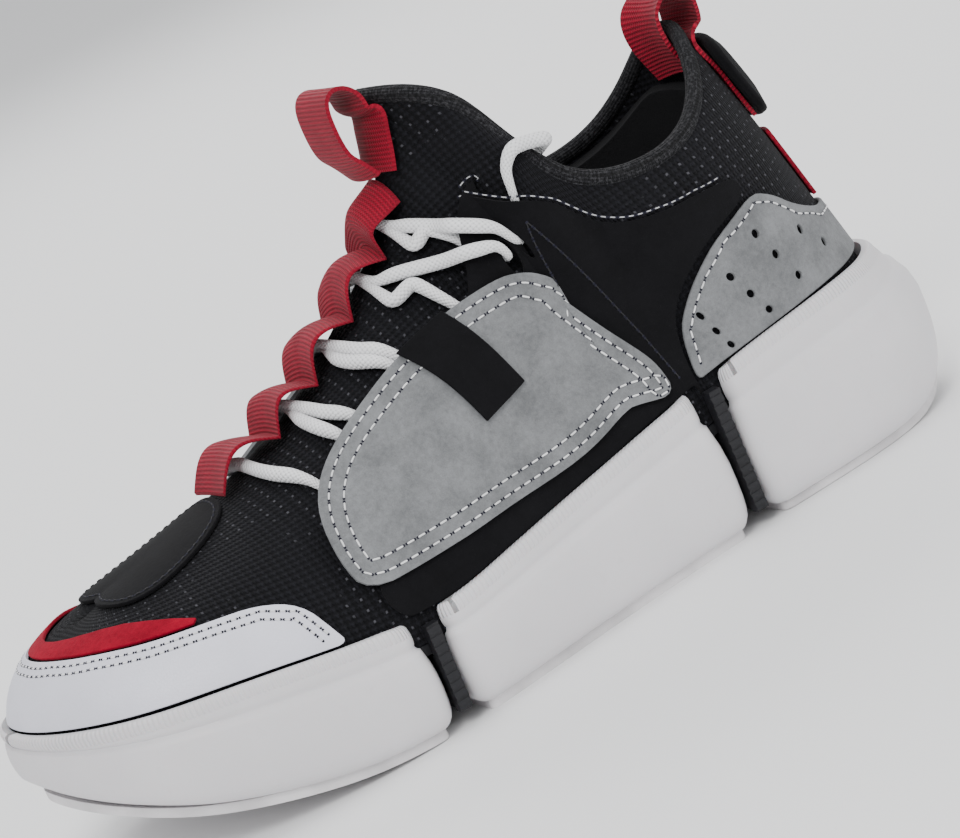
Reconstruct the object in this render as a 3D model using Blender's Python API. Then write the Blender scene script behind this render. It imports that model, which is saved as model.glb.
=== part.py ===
"""Left basketball high top: three-block sole, knit bootie, suede overlays, webbing strap and lace.

All sizes below are millimetres; meshes are made in metres. The toe points along -X, the heel along +X,
the outer (lateral) side is -Y and the inner (medial) side is +Y. The shoe stands on z = 0.
A place on the upper is given by a station u, 0 at the toe tip to 17 at the heel, and a height v along the
section there, 0 at the foot bed to 1 at the instep ridge or the collar edge.
"""
import math

import bmesh
import bpy
import numpy as np
from mathutils import Vector
from mathutils.geometry import delaunay_2d_cdt

MM = 0.001
LENGTH = 302.0          # sole, toe to heel
WIDTH = 109.5           # sole, across the ball of the foot
HEIGHT = 157.0          # tongue top above the floor
DRAWN = (302.0, 109.5, 157.0)   # the size that the outlines below are drawn at
LATERAL, MEDIAL = -1, 1

GAP = 0.3               # between pieces that touch
LAYER_GAP = 0.5         # between curved skins that lie on each other
RIM_WALL = 3.0          # foam wall of the cup round the upper
KNIT = 2.0              # bootie
SUEDE = 1.1             # quarters, wings, counter, toe overlay
LEATHER = 1.3           # toe bumper
CARRIER = 3.0           # black plate under the lasting board
BOARD = 1.5
LINER = 4.0             # sock liner
BOARD_LEAN, LINER_LEAN = 1.6, 4.6   # the upper leans in over the edges of the board and the liner
OUTSOLE = 3.0
BLOCK_GAPS = (-49.5, 58.0)      # where the sole blocks part
GAP_WIDTH = 5.0
RIB = 3.0
CORNER = 7.0            # round of a block's upright corners
LACE = 4.2
AGLET = 18.0
LACE_SQUEEZE = 0.55     # share of the diameter left where the lace crosses itself or runs under a panel
WEBBING = 1.2
STRAP_WIDTH = 22.0
HUMP = 7.1              # strap loops stand this far off the instep
LOOP_WIDTH = 22.0
PADDING = 4.0           # collar lining
TAB_PAD = 2.8           # padded tab at the heel
BINDING = 2.3           # collar binding radius
HOLE = 2.2              # punched holes in the heel counter
EYELET = 6.8
LACE_ROOM = 3.0         # panels stand off this far where the lace runs behind them

SOLE_LATERAL = [(-151, 9), (-145, -16), (-126, -41), (-96, -53), (-64, -56.5), (-36, -55), (-12, -52),
                (8, -49.5),
                (24, -48), (36, -47), (46, -46.5), (58, -46), (72,
                                                               -46), (88, -46), (106, -44.5), (126, -37.5),
                (142, -22), (150, -1)]
SOLE_MEDIAL = [(-151, 9), (-146, 30), (-128, 47), (-98, 53), (-66, 51.5), (-38, 46), (-14, 42), (6, 39.5),
               (23, 39), (36, 39), (46, 39.5), (58, 40.5), (72, 42), (88, 43), (106, 41.5), (126, 34),
               (142, 20), (150, -1)]
RIDGE = [(-116, 8, 63), (-114, 7.5, 63.5), (-107, 7, 65.5), (-90, 5.5, 69), (-64, 4, 75), (-36, 2.5, 85.5),
         (-12, 1.5, 101), (5, 0.5, 115), (15, 0, 133), (20, 0, 152)]
TOPLINE = [(20, 0, 152), (29, -18, 147), (39, -25, 130), (50, -31, 111), (70, -34.5, 103), (91, -30, 105),
           (105, -20, 115),
           (111, -9, 125), (113, 0, 127)]
ROUNDNESS = [2.1, 2.1, 2.1, 2.05, 2.0, 1.95, 1.9, 1.75, 1.6, 1.42, 1.22, 1.14, 1.1, 1.08, 1.06, 1.05, 1.05,
             1.05]
BULGE = [0, 0, 0, 0, 0, 0, 0, 0, 0, 1, 2, 2.5, 2.5, 2.2, 1.8, 1.0, 0.5, 0.5]
RIM = [(-151, 47), (-120, 44), (-90, 40), (-50, 33.5), (-20, 35), (20, 40), (50, 44), (85, 48), (120, 49),
       (151, 47)]
FOOTBED = [(-151, 36), (-120, 32), (-90, 28), (-50, 22), (0, 24), (50, 29), (100, 32), (151, 32)]
RIM_INSET = [(-151, 1), (-50, 2), (60, 3), (120, 6), (151, 8)]
TREAD = [(-151, 28), (-143, 22), (-125, 14), (-104, 7.5), (-82, 2.5), (-60, 0.3), (-38, 0), (-14, 0), (12, 0), (38, 0), (62, 0), (86, 0), (110, 0), (128, 2),
         (141, 7.5), (151, 15)]

STRAP_TACKS = (3.85, 4.62, 5.25, 6.0, 6.95, 7.95)
TONGUE_TIP, HEEL = 9, 17
REAR_TIP = 2 * HEEL - TONGUE_TIP     # the tongue tip again, reached round the heel

COLOURS = {
    "foam": (0.82, 0.80, 0.82, 0.45), "outsole_rubber": (0.74, 0.72, 0.73,
                                                         0.55), "black_rubber": (0.02, 0.02, 0.025, 0.6),
    "knit": (0.016, 0.016, 0.02, 0.9), "black_suede": (0.012, 0.012, 0.014,
                                                       0.95), "grey_suede": (0.33, 0.34, 0.35, 0.9),
    "white_leather": (0.80, 0.81, 0.88, 0.4), "red_suede": (0.42, 0.02, 0.045,
                                                            0.85), "red_webbing": (0.50, 0.012, 0.05, 0.7),
    "lace_white": (0.85, 0.85, 0.86, 0.8), "lining": (0.02, 0.02, 0.022,
                                                      0.95), "board": (0.45, 0.38, 0.28, 0.8),
    "clear_tip": (0.8, 0.8, 0.8, 0.3),
}


def grow(points):
    """Scales drawn points to the shoe's own length, width and height."""
    points = np.asarray(points, float)
    scale = np.array([LENGTH, WIDTH, HEIGHT]) / DRAWN
    return points * scale[:points.shape[1]]


def spline(points):
    """Natural cubic through the points, read at 0, 1, 2 and between."""
    points = np.asarray(points, float)
    if points.ndim == 1:
        points = points[:, None]
    count = len(points)
    matrix = np.eye(count)
    right = np.zeros_like(points)
    for i in range(1, count - 1):
        matrix[i, i - 1:i + 2] = 1, 4, 1
        right[i] = 6 * (points[i - 1] - 2 * points[i] + points[i + 1])
    bend = np.linalg.solve(matrix, right)

    def read(t):
        t = np.clip(np.asarray(t, float), 0, count - 1)
        i = np.minimum(t.astype(int), count - 2)
        f = (t - i)[..., None]
        g = 1 - f
        return g * points[i] + f * points[i + 1] + ((g ** 3 - g) * bend[i] + (f ** 3 - f) * bend[i + 1]) / 6

    return read


def profile(points):
    """Height or inset against x, from a few points."""
    points = np.asarray(points, float) * (LENGTH / DRAWN[0], 1)
    curve = spline(points)
    line = curve(np.linspace(0, len(points) - 1, 400))
    return lambda x: np.interp(x, line[:, 0], line[:, 1])


def mirrored(values):
    """A curve that arrives level at both ends, as it does where it meets its mirror image."""
    values = list(values)
    curve = spline(values[3:0:-1] + values + values[-2:-5:-1])
    return lambda t: curve(np.asarray(t, float) + 3)


def closed_loop(points):
    """A smooth closed curve, read from 0 round to the number of points."""
    points = list(points)
    curve = spline(points[-4:] + points + points[:5])
    count = len(points)
    return lambda t: curve(np.mod(np.asarray(t, float), count) + 4)


sole_loop = closed_loop(grow(SOLE_LATERAL + SOLE_MEDIAL[-2:0:-1]))
sole_line = {LATERAL: sole_loop, MEDIAL: lambda u: sole_loop(2 * HEEL - np.asarray(u, float))}
ridge_line = mirrored(grow(RIDGE))
collar_loop = spline(np.r_[grow(TOPLINE), grow(TOPLINE)[-2::-1] * (1, -1, 1)])
roundness = mirrored(ROUNDNESS)
bulge = mirrored(BULGE)
outline_box = sole_loop(np.linspace(0, 2 * HEEL, 2000))
CENTRE = np.r_[(outline_box.min(axis=0) + outline_box.max(axis=0)) / 2, 0]    # the origin lies under it
tall = HEIGHT / DRAWN[2]
rim = profile([(x, z * tall) for x, z in RIM])
footbed = profile([(x, z * tall) for x, z in FOOTBED])
tread_line = profile([(x, z * tall) for x, z in TREAD])
rim_inset = profile(RIM_INSET)


def tread(x):
    """Height of the outsole above the floor."""
    return np.maximum(tread_line(x), 0)


SECOND_STEP = 0.02
STATIONS = np.r_[np.linspace(0, 3, 13), np.linspace(3, 14.5, 24)[1:], np.linspace(14.5, HEEL, 10)[1:]]
FAN_END = 1.5


def plan(side, u, inset):
    """Sole outline moved in by the inset, and its outward direction."""
    step = 0.01
    u = np.asarray(u, float)
    along = (sole_line[side](u + step) - sole_line[side](u - step)) * -side
    outward = np.stack([along[..., 1], -along[..., 0]], -1)
    outward /= np.linalg.norm(outward, axis=-1, keepdims=True)
    return sole_line[side](u) - outward * np.asarray(inset)[..., None], outward


def last(side, u, v):
    """The inner face of the upper. Past the ridge, the toe tip or the heel it goes on round the other side."""
    side, u, v = (np.array(a, float) for a in np.broadcast_arrays(side, u, v))
    over = v > 1
    side[over] *= -1
    v[over] = 2 - v[over]
    before = u < 0
    side[before] *= -1
    u[before] *= -1
    past = u > HEEL
    side[past] *= -1
    u[past] = 2 * HEEL - u[past]
    result = np.zeros(u.shape + (3,))
    for one in (LATERAL, MEDIAL):
        pick = side == one
        if not pick.any():
            continue
        station, height = u[pick], v[pick]
        x = sole_line[one](station)[:, 0]
        foot, outward = plan(one, station, rim_inset(x) + RIM_WALL + GAP + KNIT)
        bottom = footbed(foot[:, 0]) + GAP + CARRIER + GAP
        collar = collar_loop(np.maximum(station - TONGUE_TIP, 0)) * (1, -one, 1)
        top = np.where((station <= TONGUE_TIP)[:, None], ridge_line(station), collar)
        power = 2 / roundness(station)[:, 0]
        angle = np.clip(height, 0, 1) * math.pi / 2
        lean = 1 - np.cos(angle) ** power
        rise = np.sin(angle) ** power
        above_rim = np.clip((height - 0.26) / 0.74, 0, 1)
        swell = bulge(station)[:, 0] * np.sin(math.pi * above_rim) ** 2
        point = np.zeros((len(station), 3))
        point[:, :2] = foot + (top[:, :2] - foot) * lean[:, None] + outward * swell[:, None]
        point[:, 2] = bottom + (top[:, 2] - bottom) * rise
        result[pick] = point
    return result


def upper(side, u, v, offset=0.0):
    """A point of the upper, the offset outside its inner face, and the outward direction there."""
    side, u, v = (np.array(a, float) for a in np.broadcast_arrays(side, u, v))
    edge = (u > TONGUE_TIP) & (u < 2 * HEEL - TONGUE_TIP)
    step = SECOND_STEP
    fan = (np.abs(u) < FAN_END) & (np.abs(v - 1) < 0.1)     # sections meet in one point at the toe
    at = np.where(fan, np.where(v > 1, 1.1, 0.9), v)
    at = np.where(edge, np.minimum(at, 0.9),
                  at)            # the collar edge faces as the wall below it does
    v_high = at + step
    v_low = np.maximum(at - step, 0)
    beside = np.clip(at, step, 2)
    left = np.where(u > TONGUE_TIP, np.maximum(u - step, TONGUE_TIP), u - step)
    right = np.where(u <= TONGUE_TIP, np.minimum(u + step, TONGUE_TIP), u + step)
    right = np.where(u <= REAR_TIP, np.minimum(right, REAR_TIP), right)
    along = last(side, right, beside) - last(side, left, beside)
    up = last(side, u, v_high) - last(side, u, v_low)
    normal = np.cross(along, up) * -side[..., None]
    normal /= np.linalg.norm(normal, axis=-1, keepdims=True)
    return last(side, u, v) + normal * np.asarray(offset)[..., None], normal


def rim_height(side, u, clear=0.5):
    """The height v at which the upper comes out of the sole."""
    v = np.linspace(0, 0.6, 121)
    levels = []
    for station in np.atleast_1d(u):
        points = upper(side, np.full_like(v, station), v, KNIT)[0]
        levels.append(np.interp(0, points[:, 2] - rim(points[:, 0]) - clear, v))
    return np.array(levels)


def material(name):
    found = bpy.data.materials.get(name)
    if found:
        return found
    red, green, blue, rough = COLOURS[name]
    found = bpy.data.materials.new(name)
    found.use_nodes = True
    shader = found.node_tree.nodes["Principled BSDF"]
    shader.inputs["Base Color"].default_value = (red, green, blue, 1)
    shader.inputs["Roughness"].default_value = rough
    shader.inputs["Metallic"].default_value = 0
    found.diffuse_color = (red, green, blue, 1)
    return found


def add(name, points, faces, finish, pivot=None):
    """One named object from millimetre points, its origin at the pivot."""
    pivot = np.zeros(3) if pivot is None else np.asarray(pivot) - CENTRE
    mesh = bpy.data.meshes.new(name)
    mesh.from_pydata([tuple((np.asarray(p, float) - CENTRE - pivot) * MM) for p in points], [], faces)
    work = bmesh.new()
    work.from_mesh(mesh)
    bmesh.ops.recalc_face_normals(work, faces=work.faces)
    if work.calc_volume(signed=True) < 0:
        bmesh.ops.reverse_faces(work, faces=work.faces)
    work.to_mesh(mesh)
    work.free()
    mesh.shade_smooth()
    mesh.set_sharp_from_angle(angle=math.radians(40))
    item = bpy.data.objects.new(name, mesh)
    item.location = Vector(pivot) * MM
    item.data.materials.append(material(finish))
    bpy.context.collection.objects.link(item)
    return item


def loft(rings):
    """Faces between rings of equal count, open at both ends."""
    count = len(rings[0])
    points = [p for ring in rings for p in ring]
    faces = []
    for level in range(len(rings) - 1):
        for i in range(count):
            j = (i + 1) % count
            a, b = level * count, (level + 1) * count
            faces.append((a + i, a + j, b + j, b + i))
    return points, faces


def cap(ring, level, spacing=18.0):
    """Faces over a closed ring, with inner points that lie on the level."""
    flat = ring[:, :2]
    across = np.arange(-LENGTH, LENGTH, spacing)
    grid = np.stack(np.meshgrid(across, across, indexing="ij"), -1).reshape(-1, 2)
    grid = grid[within(grid, flat)]
    near = np.min(np.linalg.norm(grid[:, None] - refined(flat, 3.0)[None], axis=2), axis=1)
    grid = grid[near > spacing * 0.4]
    edges = [(i, (i + 1) % len(flat)) for i in range(len(flat))]
    every = np.r_[flat, grid]
    result = delaunay_2d_cdt([Vector(p) for p in every], edges, [], 1, 1e-5)
    source = [int(np.argmin(np.linalg.norm(every - np.array(p), axis=1))) for p in result[0]]
    faces = [tuple(source[k] for k in face) for face in result[2]]
    return [(x, y, float(level(x))) for x, y in grid], faces


def capped_loft(rings, levels):
    """Rings of equal count, closed at each end by a cap."""
    points, faces = loft(rings)
    count = len(rings[0])
    for start, ring, level in zip((0, count * (len(rings) - 1)), (rings[0], rings[-1]), levels):
        inner, covers = cap(ring, level)
        base = len(points)
        points += inner
        faces += [tuple(start + k if k < count else base + k - count for k in face) for face in covers]
    return points, faces


# ---- sole ----

def side_chain(side, x0, x1, spacing=9.0):
    """Sole outline points on one side between two x, in order of x."""
    line = sole_line[side](np.linspace(0, HEEL, 600))
    inside = line[(line[:, 0] >= x0) & (line[:, 0] <= x1)]
    length = np.r_[0, np.cumsum(np.linalg.norm(np.diff(inside, axis=0), axis=1))]
    wanted = np.linspace(0, length[-1], max(3, int(length[-1] / spacing) + 1))
    return np.stack([np.interp(wanted, length, inside[:, k]) for k in (0, 1)], -1)


def corner(start, tip, end, count=3):
    """A corner rounded as a quarter circle, its ends left out."""
    turn = np.linspace(0, math.pi / 2, count + 2)[1:-1, None]
    return start + (tip - start) * np.sin(turn) + (end - tip) * (1 - np.cos(turn))


def block_outline(x0, x1):
    """Closed outline of one sole block; an end at None is the toe or the heel itself."""
    low = -1e3 if x0 is None else x0 + CORNER
    high = 1e3 if x1 is None else x1 - CORNER
    outer, inner = side_chain(LATERAL, low, high), side_chain(MEDIAL, low, high)
    y_at = {side: (lambda x, s=side: np.interp(x, *sole_line[s](np.linspace(0, HEEL, 600)).T))
            for side in (LATERAL, MEDIAL)}
    points = list(outer)
    if x1 is not None:
        tip = np.array([x1, y_at[LATERAL](x1)])
        points += list(corner(outer[-1], tip, tip + (0, CORNER)))
        points += list(np.linspace(tip + (0, CORNER), (x1, y_at[MEDIAL](x1) - CORNER), 7))
        tip = np.array([x1, y_at[MEDIAL](x1)])
        points += list(corner(tip - (0, CORNER), tip, inner[-1]))
    points += list(inner[::-1] if x1 is not None else inner[-2::-1])
    if x0 is not None:
        tip = np.array([x0, y_at[MEDIAL](x0)])
        points += list(corner(inner[0], tip, tip - (0, CORNER)))
        points += list(np.linspace(tip - (0, CORNER), (x0, y_at[LATERAL](x0) + CORNER), 7))
        tip = np.array([x0, y_at[LATERAL](x0)])
        points += list(corner(tip + (0, CORNER), tip, outer[0]))
    else:
        points = points[:-1]
    return np.array(points)


def moved_in(outline, inset):
    """A closed outline moved in by a distance, one value or one for each point."""
    along = np.roll(outline, -1, axis=0) - np.roll(outline, 1, axis=0)
    outward = np.stack([along[:, 1], -along[:, 0]], -1)
    outward /= np.linalg.norm(outward, axis=1, keepdims=True)
    return outline - outward * np.broadcast_to(inset, len(outline))[:, None]


def bed_prism(clear, bottom, thick):
    """A plate over the foot bed, clear of the cup wall, its faces in strips from side to side."""
    stations = STATIONS
    chain = {}
    for side in (LATERAL, MEDIAL):
        x = sole_line[side](stations)[:, 0]
        chain[side] = plan(side, stations, rim_inset(x) + RIM_WALL + clear)[0]
    count = len(stations)
    ring = np.r_[chain[LATERAL], chain[MEDIAL][-2:0:-1]]
    size = len(ring)
    low = np.c_[ring, footbed(ring[:, 0]) + bottom]
    points = list(low) + list(low + (0, 0, thick))
    faces = [(i, (i + 1) % size, size + (i + 1) % size, size + i) for i in range(size)]
    for level in (0, size):
        for i in range(1, count - 2):
            faces.append((level + i, level + i + 1, level + size - i - 1, level + size - i))
        faces.append((level, level + 1, level + size - 1))
        faces.append((level + count - 2, level + count - 1, level + count))
    return points, faces


def sole_block(name, pad_name, x0, x1, cutter):
    outline = block_outline(x0, x1)
    base = tread(outline[:, 0]) + OUTSOLE + LAYER_GAP
    top = rim(outline[:, 0])
    lip = rim_inset(outline[:, 0])
    levels = [(0.0, 4.0, 0.0), (0.06, 1.8, 0.0), (0.20, 0.4, 0.0), (0.45, 0.0, 0.0), (0.72, 0.6, 0.35),
              (0.80, 1.6, 0.6),
              (0.93, 0.5, 0.9), (1.0, 1.6, 1.0)]
    rings = [np.c_[moved_in(outline, inset + share * (lip - 0.5)), base + (top - base) * height]
             for height, inset, share in levels]
    block = add(name, *capped_loft(rings, (lambda x: tread(x) + OUTSOLE + 4 * GAP, rim)), "foam")
    cut = block.modifiers.new("cup", "BOOLEAN")
    cut.operation = "DIFFERENCE"
    cut.solver = "EXACT"
    cut.object = cutter
    pad = [np.c_[moved_in(outline, levels[0][1]), tread(outline[:, 0]) + z] for z in (0, OUTSOLE)]
    add(pad_name, *capped_loft(pad, (tread, lambda x: tread(x) + OUTSOLE)), "outsole_rubber")


def flex_rib(name, x):
    """Black rib that fills the gap between two blocks, with ears beside the upper."""
    side_y = {s: np.interp(x, *sole_line[s](np.linspace(0, HEEL, 600)).T) for s in (LATERAL, MEDIAL)}
    outer = {s: side_y[s] - s * 2.6 for s in side_y}
    inner = {s: side_y[s] - s * (rim_inset(x) + RIM_WALL - GAP) for s in side_y}
    low, mid, high = OUTSOLE + 3, footbed(x) - GAP, rim(x) - 5
    shape = [(outer[LATERAL], low), (outer[MEDIAL], low), (outer[MEDIAL], high), (inner[MEDIAL], high),
             (inner[MEDIAL], mid), (inner[LATERAL], mid), (inner[LATERAL], high), (outer[LATERAL], high)]
    points = [(x + s * RIB / 2, y, z) for s in (-1, 1) for y, z in shape]
    faces = [(i, (i + 1) % 8, 8 + (i + 1) % 8, 8 + i) for i in range(8)]
    faces += [tuple(range(8)), tuple(range(8, 16))]
    return add(name, points, faces, "black_rubber")


def make_sole():
    cutter = add("cup_cutter", *bed_prism(0, 0, HEIGHT), "foam")
    cutter.hide_render = True
    cutter.display_type = "WIRE"
    front, rear = BLOCK_GAPS[0] * LENGTH / DRAWN[0], BLOCK_GAPS[1] * LENGTH / DRAWN[0]
    half = GAP_WIDTH / 2
    sole_block("forefoot_block", "forefoot_outsole", None, front - half, cutter)
    sole_block("midfoot_block", "midfoot_outsole", front + half, rear - half, cutter)
    sole_block("heel_block", "heel_outsole", rear + half, None, cutter)
    flex_rib("front_flex_rib", front)
    flex_rib("rear_flex_rib", rear)
    add("carrier_plate", *bed_prism(GAP, GAP, CARRIER), "black_rubber")
    inside = GAP + KNIT + GAP
    add("lasting_board", *bed_prism(inside + BOARD_LEAN, 3 * GAP + CARRIER, BOARD), "board")
    add("sock_liner", *bed_prism(inside + LINER_LEAN, 4 * GAP + CARRIER + BOARD, LINER), "lining")


# ---- knit bootie ----

def make_bootie():
    """Knit sock from toe to collar, open at the ankle and along its foot."""
    stations = STATIONS
    heights = np.linspace(0, 1, 9)
    rows = {}
    points, faces = [], []

    def index(layer, side, i, j):
        """Shared points: toe and heel seams, and the ridge in front of the collar."""
        if i in (0, len(stations) - 1):
            side = LATERAL
        if j == len(heights) - 1 and stations[i] <= TONGUE_TIP:
            side = LATERAL
        key = (layer, side, i, j)
        if key not in rows:
            rows[key] = len(points)
            points.append(upper(side, stations[i], heights[j], layer)[0])
        return rows[key]

    last_row = len(heights) - 1
    for side in (LATERAL, MEDIAL):
        for i in range(len(stations) - 1):
            for j in range(last_row):
                for layer in (0.0, KNIT):
                    faces.append([index(layer, side, *k)
                                  for k in ((i, j), (i + 1, j), (i + 1, j + 1), (i, j + 1))])
            faces.append([index(0.0, side, i, 0), index(0.0, side, i + 1, 0), index(KNIT, side, i + 1, 0),
                          index(KNIT, side, i, 0)])
            if stations[i + 1] > TONGUE_TIP:
                faces.append([index(0.0, side, i, last_row), index(0.0, side, i + 1, last_row),
                              index(KNIT, side, i + 1, last_row), index(KNIT, side, i, last_row)])
    return add("knit_bootie", points, faces, "knit")


def frames(path):
    """Even directions along a closed or open path."""
    path = np.asarray(path, float)
    along = np.gradient(path, axis=0)
    return along / np.linalg.norm(along, axis=1, keepdims=True)


def collar_edge(u):
    """Places along the collar edge, with the outward direction and the one that rises off the edge."""
    u = np.asarray(u, float)
    edge, normal = upper(LATERAL, u, np.ones_like(u), KNIT / 2)
    low = np.maximum(u - 0.05, TONGUE_TIP)
    high = np.minimum(u + 0.05, REAR_TIP)
    along = last(LATERAL, high, np.ones_like(u)) - last(LATERAL, low, np.ones_like(u))
    along /= np.linalg.norm(along, axis=-1, keepdims=True)
    rise = np.cross(normal, along)
    rise /= np.linalg.norm(rise, axis=-1, keepdims=True)
    return edge, np.cross(along, rise), rise


def make_collar():
    """Rib binding along the collar edge, and the padded lining inside it."""
    stations = np.linspace(TONGUE_TIP, REAR_TIP, 50)[:-1]
    edge, normal, rise = collar_edge(stations)
    centre = edge + rise * (BINDING + LAYER_GAP + 0.2)
    rings = []
    for k in range(8):
        angle = math.pi * (k + 0.5) / 4
        rings.append(centre + BINDING * (math.cos(angle) * normal + math.sin(angle) * rise))
    count = len(stations)
    points = [p for ring in rings for p in ring]
    faces = [(k * count + i, k * count + (i + 1) % count, ((k + 1) % 8) * count + (i + 1) % count,
              ((k + 1) % 8) * count + i)
             for k in range(8) for i in range(count)]
    add("collar_binding", points, faces, "knit")
    outline = [(12.6, 0.88), (12.6, 0.62), (13.4, 0.55), (15.0, 0.5), (17.0, 0.48), (19.0, 0.5),
               (20.6, 0.55), (21.4, 0.62),
               (21.4, 0.88), (20.5, 0.95), (19.0, 0.88), (18.0,
                                                          0.74), (17.0,
                                                                  0.70), (16.0, 0.74), (15.0, 0.88), (13.5,
                                                                                                      0.95)]
    panel("collar_lining", LATERAL, outline, -LAYER_GAP - PADDING, PADDING, "lining", rounded=True)


# ---- panels ----

U_MM, V_MM = 17.0, 85.0     # rough lengths of one station and of a whole section, for even triangles


def lace_lift(u, v):
    """Panels stand off where the lace runs behind them."""
    u = np.minimum(u, 2 * HEEL - u)
    high = np.clip((v - 0.30) / 0.22, 0, 1)
    ahead = np.clip((11.5 - u) / 2.0, 0, 1)
    return LACE_ROOM * high * high * (3 - 2 * high) * ahead * ahead * (3 - 2 * ahead)


def smooth_outline(outline, per=3):
    """Closed smooth outline through the given corners."""
    outline = np.asarray(outline, float)
    wrapped = np.r_[outline[-3:], outline, outline[:3]]
    curve = spline(wrapped)
    return curve(3 + np.arange(len(outline) * per) / per)


def refined(loop, spacing):
    """A closed loop with no edge longer than the spacing."""
    points = []
    for start, end in zip(loop, np.roll(loop, -1, axis=0)):
        pieces = max(1, int(np.ceil(np.linalg.norm(end - start) / spacing)))
        points += [start + (end - start) * k / pieces for k in range(pieces)]
    return np.array(points)


def circle(centre, radius, count=8):
    turn = np.arange(count) * 2 * math.pi / count
    return np.c_[centre[0] + radius * np.cos(turn) / U_MM, centre[1] + radius * np.sin(turn) / V_MM]


def within(points, loop):
    """Which points lie inside a closed loop."""
    x, y = points[:, 0], points[:, 1]
    result = np.zeros(len(points), bool)
    for (x0, y0), (x1, y1) in zip(loop, np.roll(loop, -1, axis=0)):
        crosses = (y0 > y) != (y1 > y)
        slope = np.where(crosses, (x1 - x0) * (y - y0) / np.where(y1 == y0, 1, y1 - y0) + x0, 0)
        result ^= crosses & (x < slope)
    return result


def panel(name, side, outline, low, thick, finish, holes=(), lift=None, rounded=False, spacing=7.0,
          pivot=None):
    """A skin of even thickness on the upper, from an outline in station and height."""
    if rounded:
        outline = smooth_outline(outline)
    scale = np.array([U_MM, V_MM])
    loops = [refined(np.asarray(outline, float) * scale, spacing)] + [np.asarray(h) * scale for h in holes]
    corners = np.concatenate(loops)
    edges, start = [], 0
    for loop in loops:
        edges += [(start + i, start + (i + 1) % len(loop)) for i in range(len(loop))]
        start += len(loop)
    lowest, highest = corners.min(axis=0), corners.max(axis=0)
    grid = np.stack(np.meshgrid(np.arange(lowest[0] + spacing / 2, highest[0], spacing),
                                np.arange(lowest[1] + spacing / 2, highest[1],
                                          spacing), indexing="ij"), -1).reshape(-1, 2)
    keep = within(grid, loops[0])
    for hole in loops[1:]:
        keep &= ~within(grid, hole)
    distance = np.min(np.linalg.norm(grid[:, None] - corners[None], axis=2), axis=1)
    grid = grid[keep & (distance > spacing * 0.45)]
    flat = np.r_[corners, grid]
    result = delaunay_2d_cdt([Vector(p) for p in flat], edges, [], 1, 1e-5)
    flat = np.array([tuple(p) for p in result[0]])
    faces = []
    for face in result[2]:
        centre = flat[list(face)].mean(axis=0)[None]
        if not any(within(centre, hole)[0] for hole in loops[1:]):
            faces.append(tuple(face))
    station, height = flat[:, 0] / U_MM, flat[:, 1] / V_MM
    extra = lift(station, height) if lift else 0 * station
    inner = upper(side, station, height, low + extra)[0]
    outer = upper(side, station, height, low + thick + extra)[0]
    count = len(flat)
    border = {}
    for face in faces:
        for a, b in zip(face, face[1:] + face[:1]):
            border[(a, b)] = border.get((a, b), 0) + 1
    walls = [(a, b, count + b, count + a) for a, b in border if (b, a) not in border]
    back = [tuple(reversed([count + k for k in face])) for face in faces]
    return add(name, list(inner) + list(outer), faces + walls + back, finish, pivot)


def rim_run(side, start, end, step=0.5):
    """The panel edge along the sole, from one station to another."""
    stations = np.linspace(start, end, max(2, int(abs(end - start) / step) + 1))
    near = np.where(stations < 0, -stations, np.where(stations > HEEL, 2 * HEEL - stations, stations))
    sides = np.where((stations < 0) | (stations > HEEL), -side, side)
    return [(u, rim_height(s, n)[0]) for u, n, s in zip(stations, near, sides)]


BUMPER_EDGE = [(3.72, 0.18), (3.6, 0.31), (3.3, 0.385), (2.9, 0.42), (2.3, 0.47), (1.7, 0.54), (0.9, 0.60),
               (0, 0.62)]
QUARTER_EDGE = [(4.25, 0.22), (4.6, 0.36), (5.4, 0.47), (6.4, 0.51), (7.3, 0.54), (7.9, 0.585),
                (8.2, 0.60), (8.75, 0.60),
                (9.4, 0.60), (9.9, 0.60), (10.5, 0.62), (11.2,
                                                         0.66), (12.0, 0.70), (12.7, 0.72), (13.3, 0.72),
                (13.75, 0.70), (14.0, 0.665)]
COUNTER_FRONT = [(11.18, 0.24), (11.5, 0.34), (12.0, 0.42), (12.6, 0.51), (13.2, 0.58), (14.0, 0.61),
                 (14.35, 0.56), (14.75, 0.47), (15.4, 0.40), (16.2, 0.37)]
WING = [(4.15, 0.23), (4.1, 0.36), (4.2, 0.50), (4.5, 0.60), (4.95, 0.645), (5.6, 0.635), (6.3, 0.60),
        (7.0, 0.565), (7.9, 0.50),
        (8.6, 0.43), (9.6, 0.35), (10.2, 0.30), (10.42, 0.26), (10.4,
                                                                0.19), (9.5, 0.175), (8.3, 0.15), (7.0,
                                                                                                   0.145), (5.7, 0.17),
        (4.9, 0.205)]
TAB = [(5.98, 0.622), (6.78, 0.583), (7.2, 0.34), (6.35, 0.34)]
COUNTER_HOLES = [(12.1, 0.385), (12.15, 0.33), (12.2, 0.275), (12.95, 0.46), (13.05, 0.39), (13.15, 0.32),
                 (13.7, 0.52),
                 (13.8, 0.44), (13.95, 0.35), (14.5, 0.43), (14.85, 0.35)]
EYELETS = [(8.55, 0.47), (9.4, 0.50)]


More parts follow.
